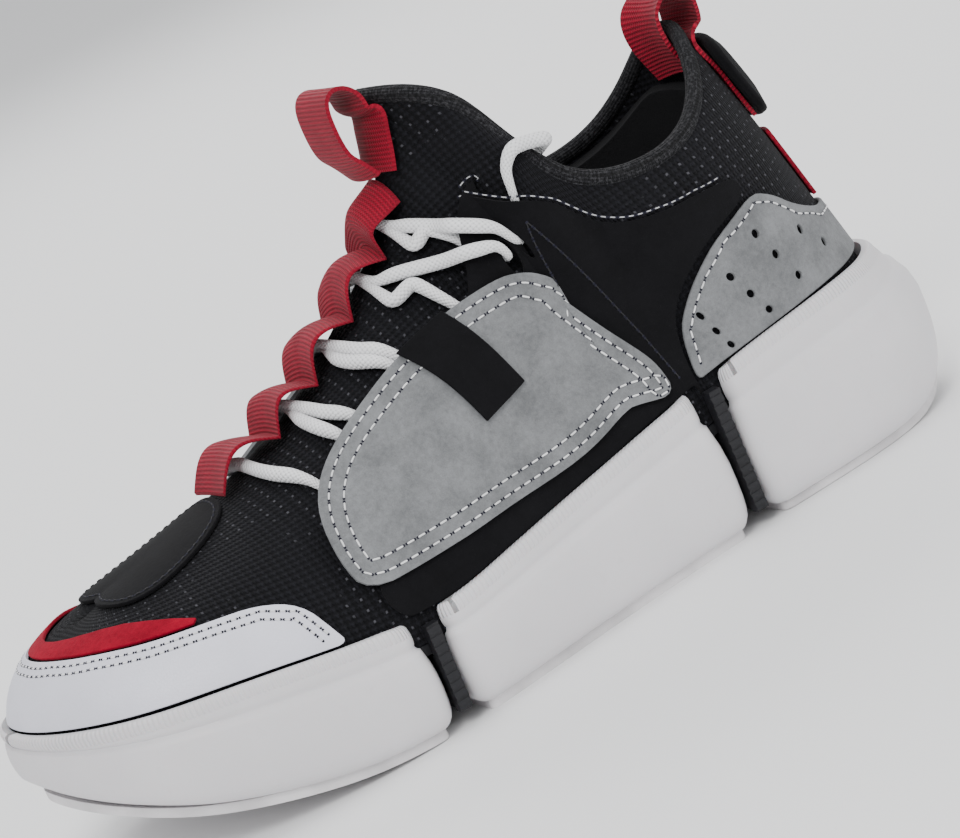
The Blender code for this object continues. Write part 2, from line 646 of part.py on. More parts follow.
def make_panels():
    skin = KNIT + LAYER_GAP
    for side, word in ((LATERAL, "lateral"), (MEDIAL, "medial")):
        outline = rim_run(side, 11.0, 4.35) + QUARTER_EDGE + [(13.9, 0.62), (13.2, 0.60), (12.55, 0.53),
                                                              (11.9, 0.435),
                                                              (11.38, 0.34), (11.08, 0.24), (11.02, 0.14)]
        holes = [circle(e, EYELET / 2) for e in EYELETS]
        panel(word + "_quarter", side, outline, skin, SUEDE, "black_suede", holes, lace_lift, spacing=6)
        hinge = upper(side, 7.3, 0.12, skin)[0]
        panel(word + "_wing", side, WING, skin + SUEDE + LAYER_GAP, SUEDE, "grey_suede", lift=lace_lift,
              spacing=6, pivot=hinge)
        panel(word + "_tab", side, TAB, skin + 2 * (SUEDE + LAYER_GAP) + 0.3, SUEDE * 0.8, "black_suede",
              lift=lace_lift, spacing=5,
              pivot=hinge)
    other = [(-u, v) for u, v in BUMPER_EDGE[-2::-1]]
    outline = rim_run(LATERAL, -3.78, 3.78) + BUMPER_EDGE + other
    panel("toe_bumper", LATERAL, outline, skin, LEATHER, "white_leather")
    outer = [(u, v + 0.02) for u, v in BUMPER_EDGE[3:]]
    inner = [(0, 0.76), (1.2, 0.735), (2.0, 0.67), (2.5, 0.56)]
    outline = outer + [(-u, v) for u, v in outer[-2::-1]] + [(-u, v) for u, v in inner[:0:-1]] + inner
    panel("toe_accent", LATERAL, outline, skin, SUEDE, "red_suede", spacing=5)
    outline = [(2.55, 0.72), (3.0, 0.74), (3.5, 0.80), (3.78, 0.88), (3.83, 1.0), (3.78, 1.12),
               (3.5, 1.20), (3.0, 1.26),
               (2.55, 1.28), (2.2, 1.22), (2.1, 1.0), (2.2, 0.78)]
    panel("toe_overlay", LATERAL, outline, skin, SUEDE, "black_suede", spacing=5)
    front = COUNTER_FRONT
    back = [(2 * HEEL - u, v) for u, v in front[::-1]]
    outline = rim_run(LATERAL, 22.85, 11.15) + front + [(17.0, 0.36)] + back
    holes = [circle(h, HOLE / 2, 6) for h in COUNTER_HOLES]
    holes += [circle((2 * HEEL - h[0], h[1]), HOLE / 2, 6) for h in COUNTER_HOLES]
    panel("heel_counter", LATERAL, outline, skin, SUEDE, "grey_suede", holes)
    tab = [(15.95, 0.83), (15.8, 0.76), (15.95, 0.65), (16.25, 0.585), (17.0, 0.57), (17.75, 0.585),
           (18.05, 0.65), (18.2, 0.76),
           (18.05, 0.83), (17.0, 0.85)]
    panel("heel_tab", LATERAL, tab, skin + WEBBING + LAYER_GAP + 0.2, TAB_PAD, "black_suede", spacing=5)
    strip = [(16.3, 0.555), (16.3, 0.385), (17.0, 0.375), (17.7, 0.385), (17.7, 0.555), (17.0, 0.55)]
    panel("heel_strip", LATERAL, strip, skin, WEBBING, "red_webbing", spacing=5)


# ---- webbing ----

def ribbon(name, path, across, width, thick, finish, bows, pivot=None):
    """Webbing along a path, its edges bowed back from its outer face by a distance for each point."""
    path = np.asarray(path, float)
    across = np.asarray(across, float)
    along = frames(path)
    normal = np.cross(along, across)
    normal /= np.linalg.norm(normal, axis=1, keepdims=True)
    places = np.linspace(-1, 1, 7)
    rings = []
    for point, side, out, bow in zip(path, across, normal, bows):
        line = [point + side * place * width / 2 - out * bow * place ** 2 for place in places]
        rings.append(line + [p + out * thick for p in line[::-1]])
    count = len(rings[0])
    points = [p for ring in rings for p in ring]
    faces = [(count * i + k, count * i + (k + 1) % count, count * (i + 1) + (k + 1) % count,
              count * (i + 1) + k)
             for i in range(len(rings) - 1) for k in range(count)]
    wide = len(places)
    for start in (0, count * (len(rings) - 1)):
        faces += [(start + k, start + k + 1, start + count - 2 - k, start + count - 1 - k)
                  for k in range(wide - 1)]
    return add(name, points, faces, finish, pivot)


def ridge_height(u, y):
    """The height v on one side at which the ridge section is y away from the middle."""
    side = LATERAL if y < 0 else MEDIAL
    v = np.linspace(0.4, 1, 61)
    points = last(side, np.full_like(v, u), v)
    reach = np.abs(points[:, 1] - points[-1, 1])
    return side, np.interp(-abs(y), -reach, v)


def make_strap():
    """Webbing strap tacked down the middle of the instep, with a loop over each lace row."""
    stations = np.concatenate([np.linspace(a, b, 9)[:-1] for a, b in zip(STRAP_TACKS, STRAP_TACKS[1:])]
                              + [STRAP_TACKS[-1:]])
    across = np.linspace(-STRAP_WIDTH / 2, STRAP_WIDTH / 2, 7)
    tacks = np.array(STRAP_TACKS)
    points = []
    for layer in (0, WEBBING):
        for u in stations:
            i = min(np.searchsorted(tacks, u, side="right") - 1, len(tacks) - 2)
            share = (u - tacks[i]) / (tacks[i + 1] - tacks[i])
            height = KNIT + LAYER_GAP + 0.5 + HUMP * math.sin(math.pi * min(share, 1))
            outward = upper(LATERAL, u, 1.0)[1]
            for y in across:
                side, v = ridge_height(u, y)
                room = 1.7 * (2 * y / STRAP_WIDTH) ** 2
                points.append(last(side, u, v) + outward * (height + layer + room))
    rows, wide = len(stations), len(across)
    size = rows * wide
    faces = []
    for i in range(rows - 1):
        for k in range(wide - 1):
            a = i * wide + k
            faces.append((a, a + 1, a + wide + 1, a + wide))
            faces.append(tuple(size + q for q in (a + wide, a + wide + 1, a + 1, a)))
        for k in (0, wide - 1):
            a = i * wide + k
            faces.append((a, a + wide, size + a + wide, size + a))
    for start in (0, (rows - 1) * wide):
        for k in range(wide - 1):
            a = start + k
            faces.append((a, a + 1, size + a + 1, size + a))
    add("instep_strap", points, faces, "red_webbing")


def heel_bow(z, half, offset):
    """How far the back of the upper curves forward at half the webbing's width, at one height."""
    heights = np.linspace(0.3, 1.0, 36)
    line = []
    for station in np.linspace(14.5, HEEL, 26):
        points = upper(LATERAL, np.full_like(heights, station), heights, offset)[0]
        line.append([np.interp(z, points[:, 2], points[:, k]) for k in (0, 1)])
    line = np.array(line)
    aside = np.abs(line[:, 1] - line[-1, 1])
    return line[-1, 0] - np.interp(half, aside[::-1], line[::-1, 0])


def make_pull_loops():
    """A folded webbing loop at the tongue top and another over the heel."""
    near = KNIT + GAP + 0.4
    past = KNIT / 2 + BINDING + GAP
    low, tip = upper(LATERAL, 8.02, 1.0, near)[0], upper(LATERAL, 8.98, 1.0, KNIT / 2)[0]
    route = [upper(LATERAL, u, 1.0, near)[0] for u in (8.02, 8.25, 8.5, 8.72)]
    route += [tip + (-past - 0.7, 0, 0), tip + (-past - 0.8, 0, 4), tip + (-past - 3.5, 0, 8.5),
              tip + (-past - 8, 0, 9.6),
              tip + (-past - 11.2, 0, 6.5), tip + (-past - 12.4, 0, 0), tip + (-past - 12.2, 0, -8),
              low + (-7.5, 0, 5), low + (-4.5, 0, -0.5)]
    bow = [2.6, 2.8, 2.8, 2.4, 1.6, 0.8, 0.2, 0, 0, -0.2, -0.5, -1.2, -1.6]
    flat = np.array(route)
    flat[:, 1] = low[1]
    even = np.linspace(0, len(route) - 1, 31)
    ribbon("tongue_pull_loop", spline(flat)(even), np.tile((0, 1, 0), (31, 1)), STRAP_WIDTH, WEBBING,
           "red_webbing",
           spline(bow)(even)[:, 0], low)
    top = upper(LATERAL, 17.0, 1.0, KNIT / 2)[0]
    reach = KNIT / 2 + BINDING + GAP + 0.6
    on_wall = KNIT + LAYER_GAP + WEBBING + 0.1
    outer = [upper(LATERAL, 17.0, v, on_wall)[0] for v in (0.60, 0.68, 0.77, 0.86)]
    route = [top + (-reach + 2.9, 0, -11.5), top + (-reach + 1.0, 0, -5), top + (-reach - 0.4, 0, 1.5),
             top + (-reach - 0.4, 0, 2 * BINDING + 3), top + (-reach + 1.6, 0, 2 * BINDING + 6.6),
             top + (0, 0, 2 * BINDING + 8.2), top + (reach + 1.2, 0, 2 * BINDING + 7.6),
             top + (reach + 3.4, 0, 2 * BINDING + 4), top + (reach + 3.2, 0, 0)] + outer[::-1]
    bow = [-3.0, -3.4, -3.8, -3.2, -2.0, -1.0, 0, 1.2, 2.6] + [heel_bow(p[2], LOOP_WIDTH / 2, on_wall)
                                                               for p in outer[::-1]]
    even = np.linspace(0, len(route) - 1, 31)
    ribbon("heel_pull_loop", spline(route)(even), np.tile((0, -1, 0), (31, 1)), LOOP_WIDTH, WEBBING,
           "red_webbing",
           -spline(bow)(even)[:, 0], top)


# ---- lace ----

EASING = 6             # how far lace corners are eased
LACE_ROWS = (4.235, 4.935, 5.625, 6.475, 7.36)      # stations where each lace row crosses the ridge
LOW_ENDS = [(4.5, 0.575), (5.0, 0.59), (5.95, 0.57), (7.25, 0.485), (8.15, 0.535)]
HIGH_ENDS = [None, (5.3, 0.59), (6.1, 0.565), (8.55, 0.47), (9.4, 0.50)]


def tube(name, points, radii, diameter, finish):
    """A round cord as one poly spline with filled caps."""
    data = bpy.data.curves.new(name, "CURVE")
    data.dimensions = "3D"
    data.bevel_depth = diameter / 2 * MM
    data.bevel_resolution = 2
    data.use_fill_caps = True
    data.render_resolution_u = 0
    line = data.splines.new("POLY")
    line.points.add(len(points) - 1)
    for spot, point, radius in zip(line.points, points, radii):
        spot.co = (*(Vector(point - CENTRE) * MM), 1)
        spot.radius = radius
    data.materials.append(material(finish))
    item = bpy.data.objects.new(name, data)
    bpy.context.collection.objects.link(item)
    return item


def spot(side, u, v, offset, radius=1.0):
    return (*upper(side, u, v, offset)[0], radius)


def strand(side, row, high):
    """Half a lace row, from its end on one side to the edge of the strap."""
    end = (HIGH_ENDS if high else LOW_ENDS)[row]
    middle = LACE_ROWS[row]
    squeezed = LACE_SQUEEZE * LACE / 2
    on_knit = KNIT + GAP + 0.35
    hidden = on_knit + squeezed
    spread = 0.07 if row < 3 else 0.045
    aside = 0 if row == 0 else spread if high else -spread
    points = [spot(side, *end, hidden + 0.1, LACE_SQUEEZE)]
    if high and row >= 3:
        on_quarter = KNIT + LAYER_GAP + LACE_ROOM + SUEDE + GAP
        points.append(spot(side, end[0] - 0.02, end[1] + 0.006, on_quarter, LACE_SQUEEZE))
        points.append(spot(side, end[0] - 0.10, end[1] + 0.035, on_quarter + squeezed + 1.6, 0.7))
        resting = [(0.26, 0.62, on_quarter + LACE / 2 + 1.9), (0.66, 0.685, on_quarter + LACE / 2 - 0.9)]
    else:
        points.append(spot(side, end[0] + (middle - end[0]) * 0.2, end[1] + 0.075,
                           on_knit + squeezed + 0.4, 0.7))
        resting = [(0.5, 0.71, on_knit + LACE / 2 + 0.1)]
    near_strap = (0.8, 0.765) if row < 3 else (0.99, 0.735)
    for share, height, offset in resting + [(*near_strap, on_knit + LACE / 2 + 0.1)]:
        u = end[0] + (middle + aside - end[0]) * share
        points.append(spot(side, u, height, offset, 1.0))
    width = 0.92 if row < 3 else 0.7
    points.append(spot(side, middle + aside, 0.845, on_knit + width * LACE / 2 + 0.1, width))
    return points


def row_points(row, start_side, start_high, end_high, over):
    """A whole lace row across the instep; of two strands one passes over the other under the strap."""
    squeezed = LACE_SQUEEZE * LACE / 2
    height = KNIT + GAP + (LACE / 2 if row == 0 else squeezed * (3 if over else 1) + (0.6 if over else 0.1))
    height += 0.5 if row >= 3 else 0.2
    centre = [spot(start_side, LACE_ROWS[row], 1.0, height, 0.92 if row == 0 else LACE_SQUEEZE)]
    return strand(start_side, row, start_high) + centre + strand(-start_side, row, end_high)[::-1]


def path_length(line):
    """Distance along a path at each of its points."""
    return np.r_[0, np.cumsum(np.linalg.norm(np.diff(line[:, :3], axis=0), axis=1))]


def stepped(line, step):
    """The same path cut into equal straight steps."""
    length = path_length(line)
    wanted = np.linspace(0, length[-1], int(length[-1] / step) + 1)
    return np.stack([np.interp(wanted, length, line[:, k]) for k in range(line.shape[1])], -1)


def thinned(line, tolerance):
    """The few points that keep a path within the tolerance."""
    kept = [0, len(line) - 1]
    waiting = [(0, len(line) - 1)]
    while waiting:
        a, b = waiting.pop()
        if b - a < 2:
            continue
        share = np.linspace(0, 1, b - a + 1)[1:-1, None]
        away = np.linalg.norm((line[a + 1:b] - line[a] - (line[b] - line[a]) * share)[:, :3], axis=1)
        far = int(np.argmax(away))
        if away[far] > tolerance:
            kept.append(a + 1 + far)
            waiting += [(a, a + 1 + far), (a + 1 + far, b)]
    return line[sorted(kept)]


def eased(route):
    """A route with its corners rounded off, its radii in the fourth column, and its length."""
    line = stepped(np.array(route), 1.0)
    for _ in range(EASING):
        line[1:-1] = (line[:-2] + 2 * line[1:-1] + line[2:]) / 4
    return thinned(line, 0.4), path_length(line)[-1]


def make_lace():
    """One lace, crossed under the strap's loops, from one top eyelet down and back up to the other."""
    down, up = [], []
    side = LATERAL
    for row in range(4, 0, -1):
        down += row_points(row, side, True, False, row % 2 == 0)
        side = -side
    bar = row_points(0, side, False, False, False)
    side = -side
    for row in range(1, 5):
        up += row_points(row, side, False, True, row % 2 == 1)
        side = -side
    points, length = eased(down + bar + up)
    print("lace between the eyelets:", round(length, 1), "mm")
    tube("lace", points[:, :3], points[:, 3], LACE, "lace_white")


def make_lace_ends():
    """The two free ends, over the collar and down inside onto the sock liner, each with its aglet."""
    squeezed = LACE_SQUEEZE * LACE / 2
    hidden = KNIT + GAP + squeezed + 0.1
    liner_top = 4 * GAP + CARRIER + BOARD + LINER + GAP + LACE / 2
    for side, word in ((LATERAL, "lateral"), (MEDIAL, "medial")):
        inside = -(GAP + PADDING + GAP + LACE / 2)
        edge, outward, rise = collar_edge(11.5 if side == LATERAL else 2 * HEEL - 11.5)
        crest = edge + rise * (2 * BINDING + 2 * GAP + LACE / 2 + 1.8)
        drop = rise * 2.0
        on_knit = KNIT + GAP + LACE / 2
        route = [spot(side, 9.62, 0.515, hidden, LACE_SQUEEZE),
                 spot(side, 9.85, 0.56, hidden, LACE_SQUEEZE),
                 spot(side, 10.1, 0.625, hidden + 0.1, 0.56), spot(side, 10.3, 0.69, hidden + 0.4, 0.75),
                 spot(side, 10.7, 0.78, on_knit + 0.4), spot(side, 11.2, 0.9, on_knit + 1.2),
                 (*(crest + outward * 5.4 - drop), 1.0), (*crest,
                                                          1.0), (*(crest - outward * 6.0 - drop), 1.0),
                 spot(side, 11.7, 0.86, inside - 1.8), spot(side, 11.85, 0.66, inside - 1.8),
                 spot(side, 12.1, 0.44, inside - 1.8)]
        floor = [(60, 22, 6.0), (66, 17, 1.4), (76, 13, 0.1), (88, 12, 0.1), (99, 14, 0.1)]
        for x, y, above in floor:
            x *= LENGTH / DRAWN[0]
            route.append((x, side * y * WIDTH / DRAWN[1], footbed(x) + liner_top + above, 1.0))
        points, length = eased(route)
        tube("lace_end_" + word, points[:, :3], points[:, 3], LACE, "lace_white")
        tip = points[-1, :3]
        ahead = (tip - points[-2, :3]) * (1, 1, 0)
        ahead /= np.linalg.norm(ahead)
        start = tip + ahead * GAP
        tube("aglet_" + word, [start, start + ahead * AGLET], [1, 1], LACE * 0.8, "clear_tip")
        print(word, "free lace end:", round(length + AGLET + GAP, 1), "mm")


def main():
    for item in list(bpy.data.objects):
        bpy.data.objects.remove(item, do_unlink=True)
    make_sole()
    make_bootie()
    make_collar()
    make_panels()
    make_strap()
    make_pull_loops()
    make_lace()
    make_lace_ends()


main()
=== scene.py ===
import math

import bmesh
import bpy
import numpy as np
from mathutils import Matrix, Vector
from mathutils.geometry import delaunay_2d_cdt
from mathutils.kdtree import KDTree


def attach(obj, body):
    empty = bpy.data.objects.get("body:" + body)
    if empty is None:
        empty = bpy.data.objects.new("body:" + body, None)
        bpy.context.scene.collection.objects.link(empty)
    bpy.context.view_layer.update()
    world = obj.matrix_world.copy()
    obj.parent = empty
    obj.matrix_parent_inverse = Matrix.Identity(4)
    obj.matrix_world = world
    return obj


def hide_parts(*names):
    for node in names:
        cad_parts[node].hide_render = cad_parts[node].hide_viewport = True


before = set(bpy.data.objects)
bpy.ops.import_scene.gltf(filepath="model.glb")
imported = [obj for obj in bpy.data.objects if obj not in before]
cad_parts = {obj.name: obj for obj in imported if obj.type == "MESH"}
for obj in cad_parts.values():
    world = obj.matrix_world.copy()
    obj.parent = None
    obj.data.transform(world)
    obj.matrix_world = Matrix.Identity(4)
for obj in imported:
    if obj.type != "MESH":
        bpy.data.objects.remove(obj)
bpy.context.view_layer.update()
print("frame loaded:", len(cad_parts), "nodes")

# left shoe, sizes in millimetres: toe at -x, outer side at -y
mm = 0.001
outer, inner = -1, 1
shoe = {"gap": 0.3, "layerGap": 0.5, "wall": 3.0, "knit": 2.0, "suede": 1.1, "leather": 1.3, "carrier": 3.0,
        "board": 1.5, "liner": 4.0}
tongueTip, heel = 9, 17
rearTip = 2 * heel - tongueTip
skin = shoe["knit"] + shoe["layerGap"]

soleOuter = [(-151, 9), (-145, -16), (-126, -41), (-96, -53), (-64, -56.5), (-36, -55), (-12, -52),
             (8, -49.5), (24, -48), (36, -47), (46, -46.5), (58, -46), (72, -46), (88, -46), (106, -44.5),
             (126, -37.5), (142, -22), (150, -1)]
soleInner = [(-151, 9), (-146, 30), (-128, 47), (-98, 53), (-66, 51.5), (-38, 46), (-14, 42), (6, 39.5),
             (23, 39), (36, 39), (46, 39.5), (58, 40.5), (72, 42), (88, 43), (106, 41.5), (126, 34),
             (142, 20), (150, -1)]
ridge = [(-116, 8, 63), (-114, 7.5, 63.5), (-107, 7, 65.5), (-90, 5.5, 69), (-64, 4, 75), (-36, 2.5, 85.5),
         (-12, 1.5, 101), (5, 0.5, 115), (15, 0, 133), (20, 0, 152)]
topline = [(20, 0, 152), (29, -18, 147), (39, -25, 130), (50, -31, 111), (70, -34.5, 103), (91, -30, 105),
           (105, -20, 115), (111, -9, 125), (113, 0, 127)]
roundness = [2.1, 2.1, 2.1, 2.05, 2.0, 1.95, 1.9, 1.75, 1.6, 1.42, 1.22, 1.14, 1.1, 1.08, 1.06, 1.05, 1.05,
             1.05]
bulge = [0, 0, 0, 0, 0, 0, 0, 0, 0, 1, 2, 2.5, 2.5, 2.2, 1.8, 1.0, 0.5, 0.5]
rimPoints = [(-151, 47), (-120, 44), (-90, 40), (-50, 33.5), (-20, 35), (20, 40), (50, 44), (85, 48),
             (120, 49), (151, 47)]
bedPoints = [(-151, 36), (-120, 32), (-90, 28), (-50, 22), (0, 24), (50, 29), (100, 32), (151, 32)]
insetPoints = [(-151, 1), (-50, 2), (60, 3), (120, 6), (151, 8)]
treadPoints = [(-151, 28), (-143, 22), (-125, 14), (-104, 7.5), (-82, 2.5), (-60, 0.3), (-38, 0), (-14, 0),
               (12, 0), (38, 0), (62, 0), (86, 0), (110, 0), (128, 2), (141, 7.5), (151, 15)]


def spline(points):
    points = np.asarray(points, float)
    if points.ndim == 1:
        points = points[:, None]
    count = len(points)
    matrix = np.eye(count)
    right = np.zeros_like(points)
    for i in range(1, count - 1):
        matrix[i, i - 1:i + 2] = 1, 4, 1
        right[i] = 6 * (points[i - 1] - 2 * points[i] + points[i + 1])
    bend = np.linalg.solve(matrix, right)

    def read(t):
        t = np.clip(np.asarray(t, float), 0, count - 1)
        i = np.minimum(t.astype(int), count - 2)
        f = (t - i)[..., None]
        g = 1 - f
        return g * points[i] + f * points[i + 1] + ((g ** 3 - g) * bend[i] + (f ** 3 - f) * bend[i + 1]) / 6

    return read


def profile(points):
    line = spline(points)(np.linspace(0, len(points) - 1, 400))
    return lambda x: np.interp(x, line[:, 0], line[:, 1])


def mirrored(values):
    values = list(values)
    curve = spline(values[3:0:-1] + values + values[-2:-5:-1])
    return lambda t: curve(np.asarray(t, float) + 3)


def closedLoop(points):
    points = list(points)
    curve = spline(points[-4:] + points + points[:5])
    count = len(points)
    return lambda t: curve(np.mod(np.asarray(t, float), count) + 4)


soleLoop = closedLoop(soleOuter + soleInner[-2:0:-1])
soleLine = {outer: soleLoop, inner: lambda u: soleLoop(2 * heel - np.asarray(u, float))}
ridgeLine = mirrored(ridge)
collarLoop = spline(np.r_[np.array(topline, float), np.array(topline, float)[-2::-1] * (1, -1, 1)])
roundAt, bulgeAt = mirrored(roundness), mirrored(bulge)
rim, footbed = profile(rimPoints), profile(bedPoints)
insetAt, treadAt = profile(insetPoints), profile(treadPoints)
wholeSole = soleLoop(np.linspace(0, 2 * heel, 2000))
centre = np.r_[(wholeSole.min(axis=0) + wholeSole.max(axis=0)) / 2, 0]


def tread(x):
    return np.maximum(treadAt(x), 0)


def unit(vectors):
    return vectors / np.linalg.norm(vectors, axis=-1, keepdims=True)


# quads between rings of points that follow one another
def ringFaces(rows, count, base=0, closed=False):
    turns = rows if closed else rows - 1
    return [(base + r * count + k, base + r * count + (k + 1) % count,
             base + (r + 1) % rows * count + (k + 1) % count, base + (r + 1) % rows * count + k)
            for r in range(turns) for k in range(count)]


def endFaces(rows, count, base=0):
    return [tuple(start + k for k in range(count)) for start in (base, base + count * (rows - 1))]


def plan(side, u, inset):
    u = np.asarray(u, float)
    along = (soleLine[side](u + 0.01) - soleLine[side](u - 0.01)) * -side
    outward = unit(np.stack([along[..., 1], -along[..., 0]], -1))
    return soleLine[side](u) - outward * np.asarray(inset)[..., None], outward


# inner face of the upper at station u (toe 0, heel 17) and height v (foot bed 0, instep ridge or collar 1)
def last(side, u, v):
    side, u, v = (np.array(a, float) for a in np.broadcast_arrays(side, u, v))
    over = v > 1
    side[over] *= -1
    v[over] = 2 - v[over]
    before = u < 0
    side[before] *= -1
    u[before] *= -1
    past = u > heel
    side[past] *= -1
    u[past] = 2 * heel - u[past]
    result = np.zeros(u.shape + (3,))
    for one in (outer, inner):
        pick = side == one
        if not pick.any():
            continue
        station, height = u[pick], v[pick]
        x = soleLine[one](station)[:, 0]
        foot, outward = plan(one, station, insetAt(x) + shoe["wall"] + shoe["gap"] + shoe["knit"])
        bottom = footbed(foot[:, 0]) + shoe["gap"] + shoe["carrier"] + shoe["gap"]
        collar = collarLoop(np.maximum(station - tongueTip, 0)) * (1, -one, 1)
        top = np.where((station <= tongueTip)[:, None], ridgeLine(station), collar)
        power = 2 / roundAt(station)[:, 0]
        angle = np.clip(height, 0, 1) * math.pi / 2
        lean = 1 - np.cos(angle) ** power
        rise = np.sin(angle) ** power
        aboveRim = np.clip((height - 0.26) / 0.74, 0, 1)
        swell = bulgeAt(station)[:, 0] * np.sin(math.pi * aboveRim) ** 2
        point = np.zeros((len(station), 3))
        point[:, :2] = foot + (top[:, :2] - foot) * lean[:, None] + outward * swell[:, None]
        point[:, 2] = bottom + (top[:, 2] - bottom) * rise
        result[pick] = point
    return result


def upper(side, u, v, offset=0.0):
    side, u, v = (np.array(a, float) for a in np.broadcast_arrays(side, u, v))
    edge = (u > tongueTip) & (u < rearTip)
    step = 0.02
    fan = (np.abs(u) < 1.5) & (np.abs(v - 1) < 0.1)
    at = np.where(fan, np.where(v > 1, 1.1, 0.9), v)
    at = np.where(edge, np.minimum(at, 0.9), at)
    low = np.maximum(at - step, 0)
    beside = np.clip(at, step, 2)
    left = np.where(u > tongueTip, np.maximum(u - step, tongueTip), u - step)
    right = np.where(u <= tongueTip, np.minimum(u + step, tongueTip), u + step)
    right = np.where(u <= rearTip, np.minimum(right, rearTip), right)
    along = last(side, right, beside) - last(side, left, beside)
    up = last(side, u, at + step) - last(side, u, low)
    normal = unit(np.cross(along, up) * -side[..., None])
    return last(side, u, v) + normal * np.asarray(offset)[..., None], normal


def rimHeight(side, u):
    v = np.linspace(0, 0.6, 121)
    levels = []
    for station in np.atleast_1d(u):
        points = upper(side, np.full_like(v, station), v, shoe["knit"])[0]
        levels.append(np.interp(0, points[:, 2] - rim(points[:, 0]) - 0.5, v))
    return np.array(levels)


class Wire:
    def __init__(self, graph, socket):
        self.graph = graph
        self.socket = socket

    def math(self, kind, *others):
        return self.graph.node("ShaderNodeMath", {"operation": kind}, dict(enumerate([self, *others])))

    def __add__(self, other):
        return self.math("ADD", other)

    def __radd__(self, other):
        return self.math("ADD", other)

    def __sub__(self, other):
        return self.math("SUBTRACT", other)

    def __mul__(self, other):
        return self.math("MULTIPLY", other)

    def sine(self):
        return self.math("SINE")

    def size(self):
        return self.math("ABSOLUTE")

    def above(self, level, soft=0.02):
        return self.graph.node("ShaderNodeMapRange", {"interpolation_type": "SMOOTHSTEP"},
                               {"Value": self, "From Min": level - soft, "From Max": level + soft})


class Graph:
    def __init__(self, name, **shaderValues):
        self.material = bpy.data.materials.new(name)
        self.material.use_nodes = True
        self.tree = self.material.node_tree
        self.shader = self.tree.nodes["Principled BSDF"]
        for key, value in shaderValues.items():
            self.shader.inputs[key.replace("_", " ")].default_value = value

    def feed(self, socket, value):
        if isinstance(value, Wire):
            self.tree.links.new(value.socket, socket)
        else:
            socket.default_value = value

    def node(self, kind, settings=None, sockets=None, out=0):
        made = self.tree.nodes.new(kind)
        for key, value in (settings or {}).items():
            setattr(made, key, value)
        for key, value in (sockets or {}).items():
            self.feed(made.inputs[key], value)
        return Wire(self, made.outputs[out])

    def uv(self):
        both = self.node("ShaderNodeUVMap", {"uv_map": "size"})
        split = self.node("ShaderNodeSeparateXYZ", None, {0: both})
        return split, Wire(self, split.socket.node.outputs[1])

    # the place on the piece, in millimetres
    def place(self):
        spot = self.node("ShaderNodeTexCoord", None, None, "Object")
        return self.node("ShaderNodeVectorMath", {"operation": "SCALE"}, {0: spot, "Scale": 1 / mm})

    def noise(self, vector, scale, detail=3.0, rough=0.55):
        return self.node("ShaderNodeTexNoise", None, {"Vector": vector, "Scale": scale, "Detail": detail,
                                                      "Roughness": rough})

    def mix(self, share, first, second):
        made = self.tree.nodes.new("ShaderNodeMix")
        made.data_type = "RGBA"
        self.feed(made.inputs[0], share)
        self.feed(made.inputs[6], first)
        self.feed(made.inputs[7], second)
        return Wire(self, made.outputs[2])

    def finish(self, colour=None, rough=None, height=None, depth=0.0002):
        if colour is not None:
            self.feed(self.shader.inputs["Base Color"], colour)
        if rough is not None:
            self.feed(self.shader.inputs["Roughness"], rough)
        if height is not None:
            bump = self.node("ShaderNodeBump", None, {"Height": height, "Distance": depth, "Strength": 1.0})
            self.feed(self.shader.inputs["Normal"], bump)
        return self.material


def tone(colour, share):
    return (*[c * share for c in colour], 1)


def suedeMaterial(name, colour, sheen=0.03):
    g = Graph(name, Sheen_Weight=sheen, Sheen_Roughness=0.5, Specular_IOR_Level=0.12)
    spot = g.place()
    brushed = g.noise(spot, 0.09, 4)
    fibres = g.noise(spot, 2.6, 3, 0.7)
    nap = g.noise(spot, 0.7, 3)
    shade = brushed * 0.55 + fibres * 0.3 + nap * 0.3
    return g.finish(g.mix(shade.above(0.58, 0.22), tone(colour, 0.72), tone(colour, 1.34)),
                    0.86 + fibres * 0.12, fibres * 0.6 + nap * 0.6, 0.00022)


def leatherMaterial(name, colour):
    g = Graph(name, Coat_Weight=0.12, Coat_Roughness=0.35)
    spot = g.place()
    cells = g.node("ShaderNodeTexVoronoi", {"feature": "DISTANCE_TO_EDGE"}, {"Vector": spot, "Scale": 1.1})
    soft = g.noise(spot, 0.05, 3)
    fine = g.noise(spot, 1.8, 3)
    return g.finish(g.mix(soft.above(0.5, 0.25), tone(colour, 0.95), tone(colour, 1.03)),
                    0.36 + fine * 0.14, cells.above(0.05, 0.05) * 0.5 + fine * 0.5, 0.00006)


